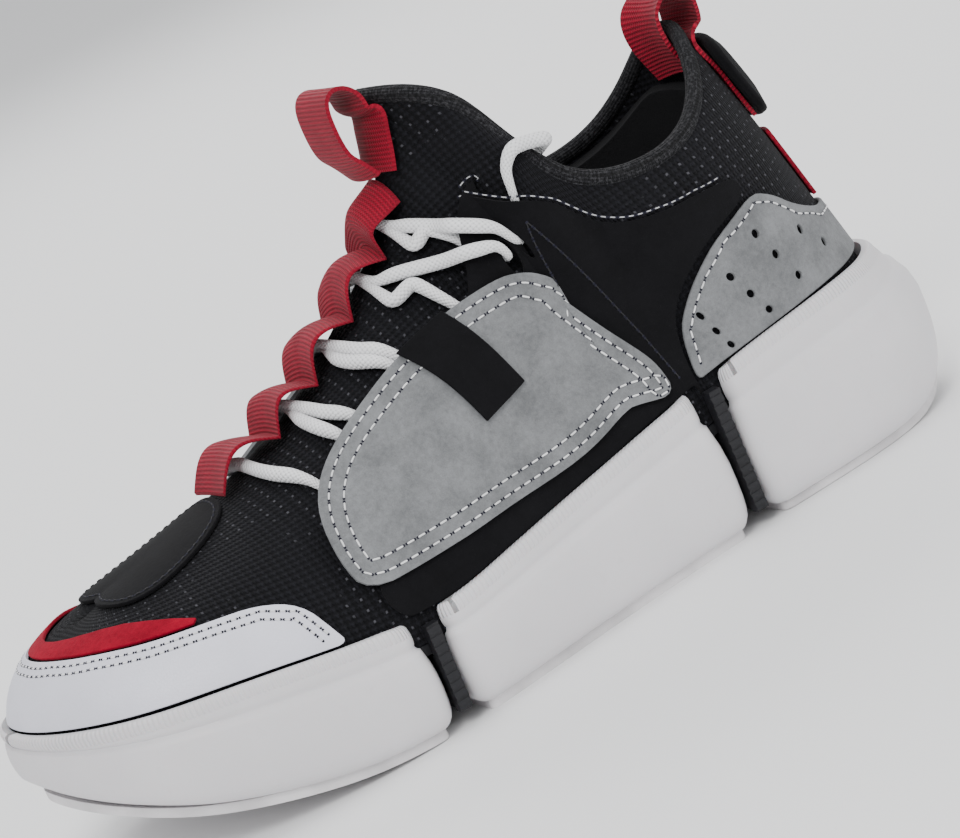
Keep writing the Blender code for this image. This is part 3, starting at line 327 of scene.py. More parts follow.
# fine rib knit: wales along v, courses along u, a painted highlight on the raised yarn, and open pin holes
# where the mask lets them through, coloured lighter than the knit as painted glints
def knitMaterial(name, colour, pitch=2.3, holes=True, heather=0.0):
    g = Graph(name, Sheen_Weight=0.02, Specular_IOR_Level=0.15)
    across, up = g.uv()
    spot = g.place()
    wale = (across * (2 * math.pi / pitch)).sine()
    course = (up * (2 * math.pi / (pitch * 0.8)) + wale.size() * 1.6).sine()
    yarn = g.noise(spot, 1.7, 2)
    cloudy = g.noise(spot, 0.06, 3)
    base = g.mix(cloudy.above(0.5, 0.25), tone(colour, 0.75), tone(colour, 1.5))
    # painted highlight: the raised wales, courses and yarn get a copy of the knit colour 2.6 times lighter
    lit = g.mix((wale * 0.3 + course * 0.3 + yarn * 0.6).above(0.42, 0.35), base, tone(colour, 2.6))
    height = wale.size() * 0.6 + course * 0.35 + yarn * 0.4
    if heather:
        fleck = g.noise(spot, 1.1, 2).above(0.56, 0.05)
        lit = g.mix(fleck * heather, lit, (0.07, 0.07, 0.075, 1))
    if holes:
        column = (across * (math.pi / 4.2)).sine().size()
        row = (up * (math.pi / 3.4) + (across * (math.pi / 8.4)).sine() * 0.6).sine().size()
        glintedPinHoles = column.above(0.965, 0.02) * row.above(0.94, 0.03)
        where = g.noise(spot, 0.035, 2).above(0.5, 0.03)
        # painted highlight: the pin holes are coloured lighter than the knit as glints, while the bump
        # below sinks them as holes
        lit = g.mix(glintedPinHoles * where, lit, (0.07, 0.07, 0.08, 1))
        height = height - glintedPinHoles * where * 1.2
    return g.finish(lit, 0.9, height, 0.00035)


def webbingMaterial(name, colour):
    g = Graph(name, Sheen_Weight=0.05, Specular_IOR_Level=0.2)
    across, along = g.uv()
    rib = (along * (2 * math.pi / 1.25)).sine()
    warp = (across * (2 * math.pi / 0.8) + rib.above(0.0, 0.4) * math.pi).sine()
    spot = g.place()
    fuzz = g.noise(spot, 2.2, 3)
    worn = g.noise(spot, 0.12, 3)
    base = g.mix(worn.above(0.5, 0.25), tone(colour, 0.82), tone(colour, 1.2))
    # painted shade: where the ribs and warp run low the webbing gets a copy of its colour at 0.55
    shade = rib * 0.35 + warp * 0.2 + fuzz * 0.6
    return g.finish(g.mix(shade.above(0.3, 0.5), tone(colour, 0.55), base), 0.72,
                    rib * 0.7 + warp * 0.3 + fuzz * 0.4, 0.0003)


# round braid: two sets of strands wound opposite ways
def braidMaterial(name, colour):
    g = Graph(name, Sheen_Weight=0.2, Specular_IOR_Level=0.25)
    turn, along = g.uv()
    angle = turn * (2 * math.pi)
    left = (along * (2 * math.pi / 3.0) + angle * 4).sine()
    right = (along * (2 * math.pi / 3.0) - angle * 4).sine()
    strands = left.size() * 0.5 + right.size() * 0.5
    spot = g.place()
    fuzz = g.noise(spot, 3.0, 3)
    grime = g.noise(spot, 0.08, 3)
    clean = g.mix(grime.above(0.5, 0.3), tone(colour, 0.94), tone(colour, 1.02))
    # painted shade: between the raised strands the braid gets a copy of its colour at 0.68
    return g.finish(g.mix((strands + fuzz * 0.3).above(0.5, 0.3), tone(colour, 0.68), clean), 0.82,
                    strands + fuzz * 0.25, 0.00035)


def foamMaterial(name, colour):
    g = Graph(name, Subsurface_Weight=0.05, Subsurface_Scale=0.004)
    along, up = g.uv()
    spot = g.place()
    ribs = (along * (2 * math.pi / 1.5)).sine() * up.above(-3.6, 0.15)
    pores = g.noise(spot, 1.5, 4)
    soft = g.noise(spot, 0.03, 3)
    scuff = g.noise(spot, 0.2, 4).above(0.68, 0.06)
    base = g.mix(soft.above(0.5, 0.25), tone(colour, 0.95), tone(colour, 1.02))
    return g.finish(g.mix(scuff * 0.25, base, tone(colour, 0.86)), 0.42 + pores * 0.16,
                    ribs * 0.6 + pores * 0.25, 0.00022)


def plainMaterial(name, colour, rough=0.7, grain=1.5, depth=0.0001):
    g = Graph(name, Specular_IOR_Level=0.35)
    spot = g.place()
    fine, soft = g.noise(spot, grain, 4), g.noise(spot, 0.06, 3)
    return g.finish(g.mix(soft.above(0.5, 0.25), tone(colour, 0.85), tone(colour, 1.15)),
                    rough + fine * 0.1, fine, depth)


def clearMaterial(name):
    g = Graph(name, Transmission_Weight=0.75, IOR=1.46)
    fine = g.noise(g.place(), 0.8, 2)
    return g.finish((0.9, 0.9, 0.9, 1), 0.12 + fine * 0.1, fine, 0.00003)


paint = {
    "foam": foamMaterial("moulded foam", (0.69, 0.672, 0.69)),
    "outsole_rubber": plainMaterial("sole rubber", (0.66, 0.64, 0.65), 0.55),
    "black_rubber": plainMaterial("black rubber", (0.007, 0.007, 0.009), 0.5),
    "knit": knitMaterial("black knit", (0.0035, 0.0035, 0.0045)),
    "rib": knitMaterial("heathered rib", (0.008, 0.008, 0.009), 1.1, False, 0.45),
    "black_suede": suedeMaterial("black suede", (0.0042, 0.0041, 0.005)),
    "grey_suede": suedeMaterial("grey suede", (0.175, 0.18, 0.185), 0.08),
    "white_leather": leatherMaterial("white leather", (0.70, 0.70, 0.78)),
    "red_suede": suedeMaterial("red suede", (0.26, 0.001, 0.016)),
    "red_webbing": webbingMaterial("red webbing", (0.34, 0.001, 0.022)),
    "lace_white": braidMaterial("white braid", (0.86, 0.86, 0.87)),
    "lining": plainMaterial("brushed lining", (0.007, 0.007, 0.008), 0.9, 2.2, 0.0004),
    "board": plainMaterial("fibre board", (0.42, 0.35, 0.26), 0.8),
    "clear_tip": clearMaterial("clear tip"),
    "thread": plainMaterial("white thread", (0.80, 0.80, 0.80), 0.6, 3, 0.00005),
    "dark_thread": plainMaterial("dark thread", (0.016, 0.016, 0.018), 0.6, 3, 0.00005),
    "grey_thread": plainMaterial("grey thread", (0.42, 0.42, 0.43), 0.6, 3, 0.00005),
    # painted shade: a near-black colour for the flat discs that stand for the needle holes beside each
    # stitch
    "needle_hole_shade": plainMaterial("needle hole shade", (0.012, 0.012, 0.022), 0.9),
}
print("materials:", len(paint))


def makeMesh(name, points, faces, finishes, uv=None, marks=None, smooth=35):
    mesh = bpy.data.meshes.new(name)
    flat = (np.asarray(points, float) - centre) * mm
    mesh.from_pydata(flat.tolist(), [], [tuple(int(k) for k in face) for face in faces])
    if uv is not None:
        layer = mesh.uv_layers.new(name="size")
        corners = np.zeros(len(mesh.loops), int)
        mesh.loops.foreach_get("vertex_index", corners)
        layer.data.foreach_set("uv", np.asarray(uv, float)[corners].ravel())
    for one in finishes if isinstance(finishes, (list, tuple)) else [finishes]:
        mesh.materials.append(paint[one])
    if marks is not None:
        mesh.polygons.foreach_set("material_index", np.asarray(marks, dtype=np.int32))
    work = bmesh.new()
    work.from_mesh(mesh)
    bmesh.ops.recalc_face_normals(work, faces=work.faces)
    if marks is None and work.calc_volume(signed=True) < 0:
        bmesh.ops.reverse_faces(work, faces=work.faces)
    work.to_mesh(mesh)
    work.free()
    mesh.shade_smooth()
    mesh.set_sharp_from_angle(angle=math.radians(smooth))
    item = bpy.data.objects.new("shown_" + name.replace(" ", "_"), mesh)
    bpy.context.collection.objects.link(item)
    return item


def merged(piece, distance):
    work = bmesh.new()
    work.from_mesh(piece.data)
    bmesh.ops.remove_doubles(work, verts=work.verts, dist=distance)
    bmesh.ops.recalc_face_normals(work, faces=work.faces)
    work.to_mesh(piece.data)
    work.free()
    return piece


def declare(piece, body, slot, *nodes):
    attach(piece, body)
    if nodes:
        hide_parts(*nodes)
    return piece


def edgeRound(piece, width, steps=2):
    bevel = piece.modifiers.new("edge", "BEVEL")
    bevel.width = width * mm
    bevel.segments = steps
    bevel.limit_method = "ANGLE"
    bevel.angle_limit = math.radians(50)
    return piece


def pathLength(line):
    return np.r_[0, np.cumsum(np.linalg.norm(np.diff(line[:, :3], axis=0), axis=1))]


def stepped(line, step):
    length = pathLength(line)
    wanted = np.linspace(0, length[-1], max(2, int(length[-1] / step) + 1))
    return np.stack([np.interp(wanted, length, line[:, k]) for k in range(line.shape[1])], -1)


# a tube whose uv holds the turn and the length in mm
def tubeMesh(name, line, radii, finish, sides=14):
    along = unit(np.gradient(line, axis=0))
    first = np.cross(along[0], (0, 0, 1))
    if np.linalg.norm(first) < 0.1:
        first = np.cross(along[0], (0, 1, 0))
    points, uv, length = [], [], pathLength(line)
    for i in range(len(line)):
        first = unit(first - along[i] * np.dot(first, along[i]))
        second = np.cross(along[i], first)
        for k in range(sides + 1):
            turn = 2 * math.pi * k / sides
            points.append(line[i] + radii[i] * (first * math.cos(turn) + second * math.sin(turn)))
            uv.append((k / sides, length[i]))
    wide = sides + 1
    faces = [(i * wide + k, i * wide + k + 1, (i + 1) * wide + k + 1, (i + 1) * wide + k)
             for i in range(len(line) - 1) for k in range(sides)]
    end = (len(line) - 1) * wide
    faces += [tuple(range(sides - 1, -1, -1)), tuple(end + k for k in range(sides))]
    piece = makeMesh(name, points, faces, finish, uv)
    return merged(piece, 1e-6)


view = {"azimuth": -21.0, "elevation": 13.3, "roll": 25.7, "target": (9.6, 0.0, 58.1), "distance": 1015,
        "lens": 135}
turn, lift, roll = (math.radians(view[key]) for key in ("azimuth", "elevation", "roll"))
back = np.array([math.sin(turn) * math.cos(lift), -math.cos(turn) * math.cos(lift), math.sin(lift)])
level = np.array([math.cos(turn), math.sin(turn), 0])
rise = np.cross(back, level)
sideAxis = math.cos(roll) * level - math.sin(roll) * rise
upAxis = math.sin(roll) * level + math.cos(roll) * rise
camera = bpy.data.objects.new("camera", bpy.data.cameras.new("camera"))
camera.data.lens = view["lens"]
camera.data.sensor_width = 36
camera.data.clip_start = 0.05
place = (np.array(view["target"]) - centre + back * view["distance"]) * mm
matrix = np.eye(4)
matrix[:3, 0], matrix[:3, 1], matrix[:3, 2], matrix[:3, 3] = sideAxis, upAxis, back, place
camera.matrix_world = Matrix([list(row) for row in matrix])
bpy.context.collection.objects.link(camera)
bpy.context.scene.camera = camera

floorMesh = bpy.data.meshes.new("floor")
floorMesh.from_pydata([(-9, -9, 0), (9, -9, 0), (9, 9, 0), (-9, 9, 0)], [], [(0, 1, 2, 3)])
floorMesh.materials.append(Graph("pale floor", Roughness=0.7).finish((0.88, 0.88, 0.88, 1)))
floor = bpy.data.objects.new("floor", floorMesh)
bpy.context.collection.objects.link(floor)


def softLight(name, spot, power, size, colour=(1, 1, 1)):
    lamp = bpy.data.lights.new(name, "AREA")
    lamp.shape = "DISK"
    lamp.size = size
    lamp.energy = power
    lamp.color = colour
    item = bpy.data.objects.new(name, lamp)
    item.location = spot
    item.rotation_euler = (Vector((0, 0, 0.06)) - Vector(spot)).to_track_quat("-Z", "Y").to_euler()
    bpy.context.collection.objects.link(item)


softLight("key", (-0.9, -1.3, 1.5), 24, 0.8)
softLight("fill", (1.3, -1.1, 0.8), 9, 1.1)
softLight("rear", (0.5, 1.4, 1.1), 12, 1.0)
softLight("top", (0.1, 0.0, 1.8), 12, 1.4)
world = bpy.data.worlds.new("studio")
world.use_nodes = True
world.node_tree.nodes["Background"].inputs["Color"].default_value = (0.93, 0.94, 0.96, 1)
world.node_tree.nodes["Background"].inputs["Strength"].default_value = 0.85
bpy.context.scene.world = world
print("camera, floor and lights")


block = {"gaps": (-49.5, 58.0), "width": 5.0, "corner": 7.0, "outsole": 3.0, "padInset": 4.6,
         "spacing": 2.6}
allU = np.linspace(0, heel, 600)


def sideChain(side, x0, x1):
    line = soleLine[side](allU)
    inside = line[(line[:, 0] >= x0) & (line[:, 0] <= x1)]
    return stepped(inside, block["spacing"])


def cornerPoints(start, tip, end):
    angle = np.linspace(0, math.pi / 2, 7)[1:-1, None]
    return list(start + (tip - start) * np.sin(angle) + (end - tip) * (1 - np.cos(angle)))


def blockOutline(x0, x1):
    corner = block["corner"]
    low = -1e3 if x0 is None else x0 + corner
    high = 1e3 if x1 is None else x1 - corner
    near, far = sideChain(outer, low, high), sideChain(inner, low, high)
    yAt = {side: (lambda x, s=side: np.interp(x, *soleLine[s](allU).T)) for side in (outer, inner)}
    points = list(near)
    if x1 is not None:
        tip = np.array([x1, yAt[outer](x1)])
        points += cornerPoints(near[-1], tip, tip + (0, corner))
        points += list(np.linspace(tip + (0, corner), (x1, yAt[inner](x1) - corner), 20))
        tip = np.array([x1, yAt[inner](x1)])
        points += cornerPoints(tip - (0, corner), tip, far[-1])
    points += list(far[::-1] if x1 is not None else far[-2::-1])
    if x0 is not None:
        tip = np.array([x0, yAt[inner](x0)])
        points += cornerPoints(far[0], tip, tip - (0, corner))
        points += list(np.linspace(tip - (0, corner), (x0, yAt[outer](x0) + corner), 20))
        tip = np.array([x0, yAt[outer](x0)])
        points += cornerPoints(tip + (0, corner), tip, near[0])
    else:
        points = points[:-1]
    return np.array(points)


def movedIn(outline, inset):
    along = np.roll(outline, -1, axis=0) - np.roll(outline, 1, axis=0)
    outward = unit(np.stack([along[:, 1], -along[:, 0]], -1))
    return outline - outward * np.broadcast_to(inset, len(outline))[:, None]


# side profile: height share, inset in mm, share of the lip inset
sideProfile = [(0.0, 3.4, 0.0), (0.02, 2.6, 0.0), (0.06, 1.6, 0.0), (0.12, 0.85, 0.0), (0.20, 0.4, 0.0),
               (0.32, 0.1, 0.0), (0.45, 0.0, 0.0), (0.58, 0.15, 0.1), (0.68, 0.4, 0.3), (0.735, 0.65, 0.38),
               (0.75, 1.3, 0.42), (0.78, 1.55, 0.5), (0.80, 1.1, 0.6), (0.84, 0.75, 0.72),
               (0.90, 0.5, 0.88), (0.955, 0.6, 0.97), (0.985, 1.0, 1.0), (1.0, 1.7, 1.0)]


def within(points, loop):
    x, y = points[:, 0], points[:, 1]
    result = np.zeros(len(points), bool)
    for (x0, y0), (x1, y1) in zip(loop, np.roll(loop, -1, axis=0)):
        crosses = (y0 > y) != (y1 > y)
        slope = np.where(crosses, (x1 - x0) * (y - y0) / np.where(y1 == y0, 1, y1 - y0) + x0, 0)
        result ^= crosses & (x < slope)
    return result


def refined(loop, spacing):
    points = []
    for start, end in zip(loop, np.roll(loop, -1, axis=0)):
        pieces = max(1, int(np.ceil(np.linalg.norm(end - start) / spacing)))
        points += [start + (end - start) * k / pieces for k in range(pieces)]
    return np.array(points)


def openPath(corners, spacing=0.06):
    flat = np.array(corners, float)
    return stepped(np.c_[flat, 0 * flat[:, 0]], spacing)[:, :2]


def distanceTo(points, others):
    return np.array([np.min(np.linalg.norm(others - p, axis=1)) for p in points])


# triangles over flat loops, the first the outline and the rest its holes
def flatTriangles(loops, spacing):
    corners = np.concatenate(loops)
    edges, start = [], 0
    for loop in loops:
        edges += [(start + i, start + (i + 1) % len(loop)) for i in range(len(loop))]
        start += len(loop)
    low, high = corners.min(axis=0), corners.max(axis=0)
    axes = [np.arange(low[k] + spacing / 2, high[k], spacing) for k in (0, 1)]
    grid = np.stack(np.meshgrid(*axes, indexing="ij"), -1).reshape(-1, 2)
    keep = within(grid, loops[0])
    for hole in loops[1:]:
        keep &= ~within(grid, hole)
    grid = grid[keep]
    rims = np.concatenate([refined(loop, spacing) for loop in loops])
    grid = grid[distanceTo(grid, rims) > spacing * 0.45]
    result = delaunay_2d_cdt([Vector(p) for p in np.r_[corners, grid]], edges, [], 1, 1e-6)
    flat = np.array([tuple(p) for p in result[0]])
    faces = [tuple(face) for face in result[2]]
    if len(loops) > 1:
        middles = np.array([flat[list(face)].mean(axis=0) for face in faces])
        inHole = np.zeros(len(faces), bool)
        for hole in loops[1:]:
            inHole |= within(middles, hole)
        faces = [face for face, drop in zip(faces, inHole) if not drop]
    border = set()
    for face in faces:
        for a, b in zip(face, face[1:] + face[:1]):
            border ^= {(a, b)} if (b, a) not in border else {(b, a)}
    return flat, faces, border


# a flat-cut slab whose two faces are given as functions of the flat points
def slab(name, loops, spacing, below, above, finish):
    flat, faces, border = flatTriangles(loops, spacing)
    count = len(flat)
    walls = [(a, b, count + b, count + a) for a, b in border]
    lids = [tuple(reversed([count + k for k in face])) for face in faces]
    return makeMesh(name, np.r_[below(flat), above(flat)], faces + walls + lids, finish, np.r_[flat, flat])


# the room inside the cup, as a prism that stands on the foot bed
def bedPrism(tall=150):
    stations = np.linspace(0, heel, 120)
    chain = {}
    for side in (outer, inner):
        x = soleLine[side](stations)[:, 0]
        chain[side] = plan(side, stations, insetAt(x) + shoe["wall"])[0]
    ring = np.r_[chain[outer], chain[inner][-2:0:-1]]
    size, count = len(ring), len(stations)
    low = np.c_[ring, footbed(ring[:, 0])]
    faces = ringFaces(2, size)
    for start in (0, size):
        faces += [(start + i, start + i + 1, start + size - i - 1, start + size - i)
                  for i in range(1, count - 2)]
        faces += [(start, start + 1, start + size - 1),
                  (start + count - 2, start + count - 1, start + count)]
    return np.r_[low, low + (0, 0, tall)], faces


def settled(piece):
    graph = bpy.context.evaluated_depsgraph_get()
    mesh = bpy.data.meshes.new_from_object(piece.evaluated_get(graph))
    piece.modifiers.clear()
    piece.data = mesh
    mesh.shade_smooth()
    mesh.set_sharp_from_angle(angle=math.radians(50))


cutter = makeMesh("cup cutter", *bedPrism(), "foam")


def soleBlock(name, x0, x1, node):
    outline = blockOutline(x0, x1)
    base = tread(outline[:, 0]) + block["outsole"] + 0.1
    top, lip = rim(outline[:, 0]), insetAt(outline[:, 0])
    length = pathLength(np.r_[outline, outline[:1]])[:-1]
    rings = [np.c_[movedIn(outline, inset + share * (lip - 0.5)), base + (top - base) * height]
             for height, inset, share in sideProfile]
    count = len(outline)
    points = list(np.concatenate(rings))
    uv = list(np.concatenate([np.c_[length, ring[:, 2] - top] for ring in rings]))
    faces = ringFaces(len(rings), count)
    for start in (0, (len(rings) - 1) * count):
        hub = len(points)
        points.append(np.mean(points[start:start + count], axis=0))
        uv.append(np.array([0, -20.0]))
        faces += [(start + i, start + (i + 1) % count, hub) for i in range(count)]
    piece = makeMesh(name, points, faces, "foam", uv)
    cut = piece.modifiers.new("cup", "BOOLEAN")
    cut.operation, cut.solver, cut.object = "DIFFERENCE", "EXACT", cutter
    settled(piece)
    declare(piece, "shoe", "foam", node)
    pad = movedIn(outline, block["padInset"])
    sole = slab(name + " outsole", [pad], 7.0, lambda p: np.c_[p, tread(p[:, 0])],
                lambda p: np.c_[p, tread(p[:, 0]) + block["outsole"]], "outsole_rubber")
    edgeRound(sole, 0.5)
    declare(sole, "shoe", "outsole_rubber", node.replace("block", "outsole"))


half = block["width"] / 2
soleBlock("front block", None, block["gaps"][0] - half, "forefoot_block")
soleBlock("middle block", block["gaps"][0] + half, block["gaps"][1] - half, "midfoot_block")
soleBlock("rear block", block["gaps"][1] + half, None, "heel_block")
bpy.data.objects.remove(cutter)


rib = {"half": 1.9, "ridge": 0.5, "pitch": 2.7, "step": 0.45, "slant": 1.4, "brace": 1.5}


# ribs across the gaps, with small ridges up their outer ends
def gapRib(name, node, x):
    sideY = {s: float(np.interp(x, *soleLine[s](allU).T)) for s in (outer, inner)}
    low, mid, high = block["outsole"] + 2.4, float(footbed(x)) - 0.3, float(rim(x)) - 2.5
    into, half, brace = float(insetAt(x)) + shoe["wall"] - 0.3, rib["half"], rib["brace"]
    levels = np.arange(low, high, rib["step"])
    points, faces = [], []
    for side in (outer, inner):
        start = len(points)
        for z in levels:
            face = rib["ridge"] * abs(math.sin(z * math.pi / rib["pitch"])) - half
            shift = rib["slant"] * ((z - low) / (high - low) - 0.5)
            for out, thick in ((face, -half), (face, half), (-into, half), (-into, -half)):
                points.append((x + thick + shift, sideY[side] + side * out, z))
        faces += ringFaces(len(levels), 4, start) + endFaces(len(levels), 4, start)
    start = len(points)
    for y in (sideY[outer] + into - 1, sideY[inner] - into + 1):
        points += [(x - brace, y, low), (x + brace, y, low), (x + brace, y, mid), (x - brace, y, mid)]
    faces += ringFaces(2, 4, start) + endFaces(2, 4, start)
    declare(makeMesh(name, points, faces, "black_rubber"), "shoe", "black_rubber", node)


gapRib("front rib", "front_flex_rib", block["gaps"][0])
gapRib("rear rib", "rear_flex_rib", block["gaps"][1])
for node, finish in (("carrier_plate", "black_rubber"), ("lasting_board", "board"),
                     ("sock_liner", "lining"), ("aglet_lateral", "clear_tip"),
                     ("aglet_medial", "clear_tip")):
    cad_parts[node].data.materials.clear()
    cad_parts[node].data.materials.append(paint[finish])
print("sole")


sock = {"along": 190, "up": 44, "measured": 8}


def makeSock():
    wide, tall = sock["along"], sock["up"]
    stations = np.linspace(0, heel, wide)
    points, uv, faces = [], [], []
    for layer in (0.0, shoe["knit"]):
        for side in (outer, inner):
            grid = upper(np.full((wide, tall), side), stations[:, None], np.linspace(0, 1, tall), layer)[0]
            along = np.repeat(pathLength(grid[:, sock["measured"]])[:, None], tall, 1)
            up = np.array([pathLength(column) for column in grid])
            base = len(points)
            points += list(grid.reshape(-1, 3))
            uv += list(np.stack([along * side, up], -1).reshape(-1, 2))
            starts = [base + i * tall + j for i in range(wide - 1) for j in range(tall - 1)]
            faces += [(a, a + tall, a + tall + 1, a + 1) for a in starts]
    layerSize = 2 * wide * tall
    for start in (0, wide * tall):
        for i in range(wide - 1):
            a, b = start + i * tall, start + (i + 1) * tall
            faces.append((a, b, layerSize + b, layerSize + a))
            if stations[i + 1] > tongueTip:
                a, b = a + tall - 1, b + tall - 1
                faces.append((a, b, layerSize + b, layerSize + a))
    piece = makeMesh("knit sock", points, faces, "knit", uv)
    merged(piece, 2e-5).data.shade_smooth()
    declare(piece, "shoe", "knit", "knit_bootie")


makeSock()
print("sock")


binding = {"radius": 2.3, "lift": 0.2, "padding": 4.0, "sides": 16, "stations": 320}


def collarEdge(u):
    u = np.asarray(u, float)
    edge, normal = upper(outer, u, np.ones_like(u), shoe["knit"] / 2)
    low, high = np.maximum(u - 0.05, tongueTip), np.minimum(u + 0.05, rearTip)
    along = last(outer, high, np.ones_like(u)) - last(outer, low, np.ones_like(u))
    along = unit(along)
    rise = unit(np.cross(normal, along))
    return edge, np.cross(along, rise), rise


def smoothRing(values, rounds):
    for _ in range(rounds):
        values = (np.roll(values, 1, axis=0) + 2 * values + np.roll(values, -1, axis=0)) / 4
    return values


def makeBinding():
    stations = np.linspace(tongueTip, rearTip, binding["stations"] + 1)[:-1]
    edge, normal, rise = collarEdge(stations)
    normal, rise = smoothRing(normal, 6), smoothRing(rise, 6)
    middle = smoothRing(edge, 3) + rise * (binding["radius"] + binding["lift"])
    length = pathLength(np.r_[middle, middle[:1]])[:-1]
    sides, count = binding["sides"], binding["stations"]
    points, uv = [], []
    for k in range(sides):
        angle = 2 * math.pi * (k + 0.5) / sides
        droop = 1.25 if math.sin(angle) < 0 else 1.0
        points += list(middle + binding["radius"] * (math.cos(angle) * normal
                                                     + droop * math.sin(angle) * rise))
        uv += list(np.c_[length, np.full(count, k * 0.9)])
    faces = ringFaces(sides, count, closed=True)
    declare(makeMesh("rib binding", points, faces, "rib", uv, smooth=80), "shoe", "knit", "collar_binding")


makeBinding()


uScale, vScale = 17.0, 85.0


def laceLift(u, v):
    u = np.minimum(u, 2 * heel - u)
    high = np.clip((v - 0.30) / 0.22, 0, 1)
    ahead = np.clip((11.5 - u) / 2.0, 0, 1)
    return 3.0 * high * high * (3 - 2 * high) * ahead * ahead * (3 - 2 * ahead)


def noLift(u, _):
    return 0 * np.asarray(u, float)


# corners cut twice, so an outline reads as sewn and not as a polygon
def softened(outline, rounds=2):
    loop = np.asarray(outline, float)
    for _ in range(rounds):
        after = np.roll(loop, -1, axis=0)
        loop = np.stack([loop * 0.75 + after * 0.25, loop * 0.25 + after * 0.75], 1).reshape(-1, 2)
    return loop


def ringHole(spot, radius, count=20):
    turn = np.arange(count) * 2 * math.pi / count
    return np.c_[spot[0] + radius * np.cos(turn) / uScale, spot[1] + radius * np.sin(turn) / vScale]


def panel(name, side, outline, low, thick, finish, holes=(), lift=noLift, spacing=2.4, rounds=2, puff=0.0,
          edge=0.3):
    scale = np.array([uScale, vScale])
    loop = softened(outline, rounds)
    loops = [refined(loop * scale, spacing)] + [np.asarray(hole) * scale for hole in holes]
    border = np.concatenate(loops)

    def layer(flat, offset, swell):
        u, v = flat[:, 0] / uScale, flat[:, 1] / vScale
        extra = lift(u, v)
        if swell:
            extra = extra + swell * (1 - np.exp(-(distanceTo(flat, border) / 3.0) ** 2))
        return upper(side, u, v, offset + extra)[0]

    piece = slab(name, loops, spacing, lambda p: layer(p, low, 0), lambda p: layer(p, low + thick, puff),
                 finish)
    return edgeRound(piece, edge) if edge else piece


def sewn(name, side, outline, low, thick, finish, body, node, **cut):
    return declare(panel(name, side, outline, low, thick, finish, **cut), body, finish, node)


def rimRun(side, start, end, step=0.25):
    stations = np.linspace(start, end, max(2, int(abs(end - start) / step) + 1))
    near = np.where(stations < 0, -stations, np.where(stations > heel, 2 * heel - stations, stations))
    sides = np.where((stations < 0) | (stations > heel), -side, side)
    return [(u, rimHeight(s, n)[0]) for u, n, s in zip(stations, near, sides)]


# a path on the upper moved sideways by a distance in mm
def beside(side, path, distance, closed=True):
    path = np.array(path, float)
    steps = max(1, int(math.ceil(abs(distance) / 2.0)))
    for _ in range(steps):
        u, v = path[:, 0], path[:, 1]
        spot, normal = upper(side, u, v, skin)
        if closed:
            along = np.roll(spot, -1, axis=0) - np.roll(spot, 1, axis=0)
        else:
            along = np.gradient(spot, axis=0)
        sideways = np.cross(normal, unit(along)) * (distance / steps)
        small = 0.01
        du = (upper(side, u + small, v, skin)[0] - upper(side, u - small, v, skin)[0]) / (2 * small)
        dv = (upper(side, u, v + small, skin)[0] - upper(side, u, v - small, skin)[0]) / (2 * small)
        a, b, c = (du * du).sum(1), (du * dv).sum(1), (dv * dv).sum(1)
        p, q = (du * sideways).sum(1), (dv * sideways).sum(1)
        det = np.maximum(a * c - b * b, 1e-6)
        path = path + np.c_[(c * p - b * q) / det, (a * q - b * p) / det]
        if closed:
            path = smoothRing(path, 2)
    return path


# of a closed path's two sides the inner one is the narrower
def inward(side, loop, distance):
    paths = [beside(side, loop, sign * distance) for sign in (-1, 1)]
    return min(paths, key=lambda path: np.ptp(path[:, 0]))


stitchSize = {"long": 2.5, "pause": 1.05, "radius": 0.27}
needle = {"radius": 0.42, "lift": 0.06, "reach": 0.53}
threadSides = 6
capsule = [(-0.5, 0.25, -0.8), (-0.38, 0.85, 0.1), (0.0, 1.0, 0.45), (0.38, 0.85, 0.1), (0.5, 0.25, -0.8)]


# a row of thread stitches with a dark disc of painted shade at each end for the needle hole, on the outer
# face of a panel
def stitches(name, side, path, offset, thread, body, slot, lift=noLift, size=stitchSize, closed=True):
    path = np.array(path, float)
    if closed:
        path = np.r_[path, path[:1]]
    fine = stepped(np.c_[path * (uScale, vScale), np.zeros(len(path))], 0.8)[:, :2] / (uScale, vScale)
    line = upper(side, fine[:, 0], fine[:, 1], offset + lift(fine[:, 0], fine[:, 1]))[0]
    length = pathLength(line)
    pitch = size["long"] + size["pause"]
    count = int(length[-1] / pitch)
    starts = (np.arange(count) + 0.5) * length[-1] / count
    where = np.stack([np.interp(starts, length, fine[:, k]) for k in (0, 1)], -1)
    spot, normal = upper(side, where[:, 0], where[:, 1], offset + lift(where[:, 0], where[:, 1]))
    after, before = (np.stack([np.interp(starts + step, length, line[:, k]) for k in range(3)], -1)
                     for step in (0.6, -0.6))
    ahead = unit(after - before)
    sideways = np.cross(normal, ahead)
    points, faces, marks = [], [], []
    around = [2 * math.pi * k / threadSides for k in range(threadSides)]
    for middle, up, on, across in zip(spot, normal, ahead, sideways):
        base = len(points)
        for share, fat, high in capsule:
            hub = middle + on * share * size["long"] + up * (high * size["radius"] + 0.05)
            points += [hub + fat * size["radius"] * (across * math.cos(t) + up * math.sin(t))
                       for t in around]
        rows = len(capsule)
        faces += ringFaces(rows, threadSides, base) + endFaces(rows, threadSides, base)
        marks += [0] * ((rows - 1) * threadSides + 2)
        # painted shade: a dark disc just over the surface at each stitch end, in place of the needle hole's
        # shade
        for end in (-needle["reach"], needle["reach"]):
            base = len(points)
            hub = middle + on * end * size["long"] + up * needle["lift"]
            points += [hub + needle["radius"] * (across * math.cos(t) + on * math.sin(t)) for t in around]
            faces.append(tuple(base + k for k in range(threadSides)))
            marks.append(1)
    return declare(makeMesh(name, points, faces, [thread, "needle_hole_shade"], marks=marks), body, slot)


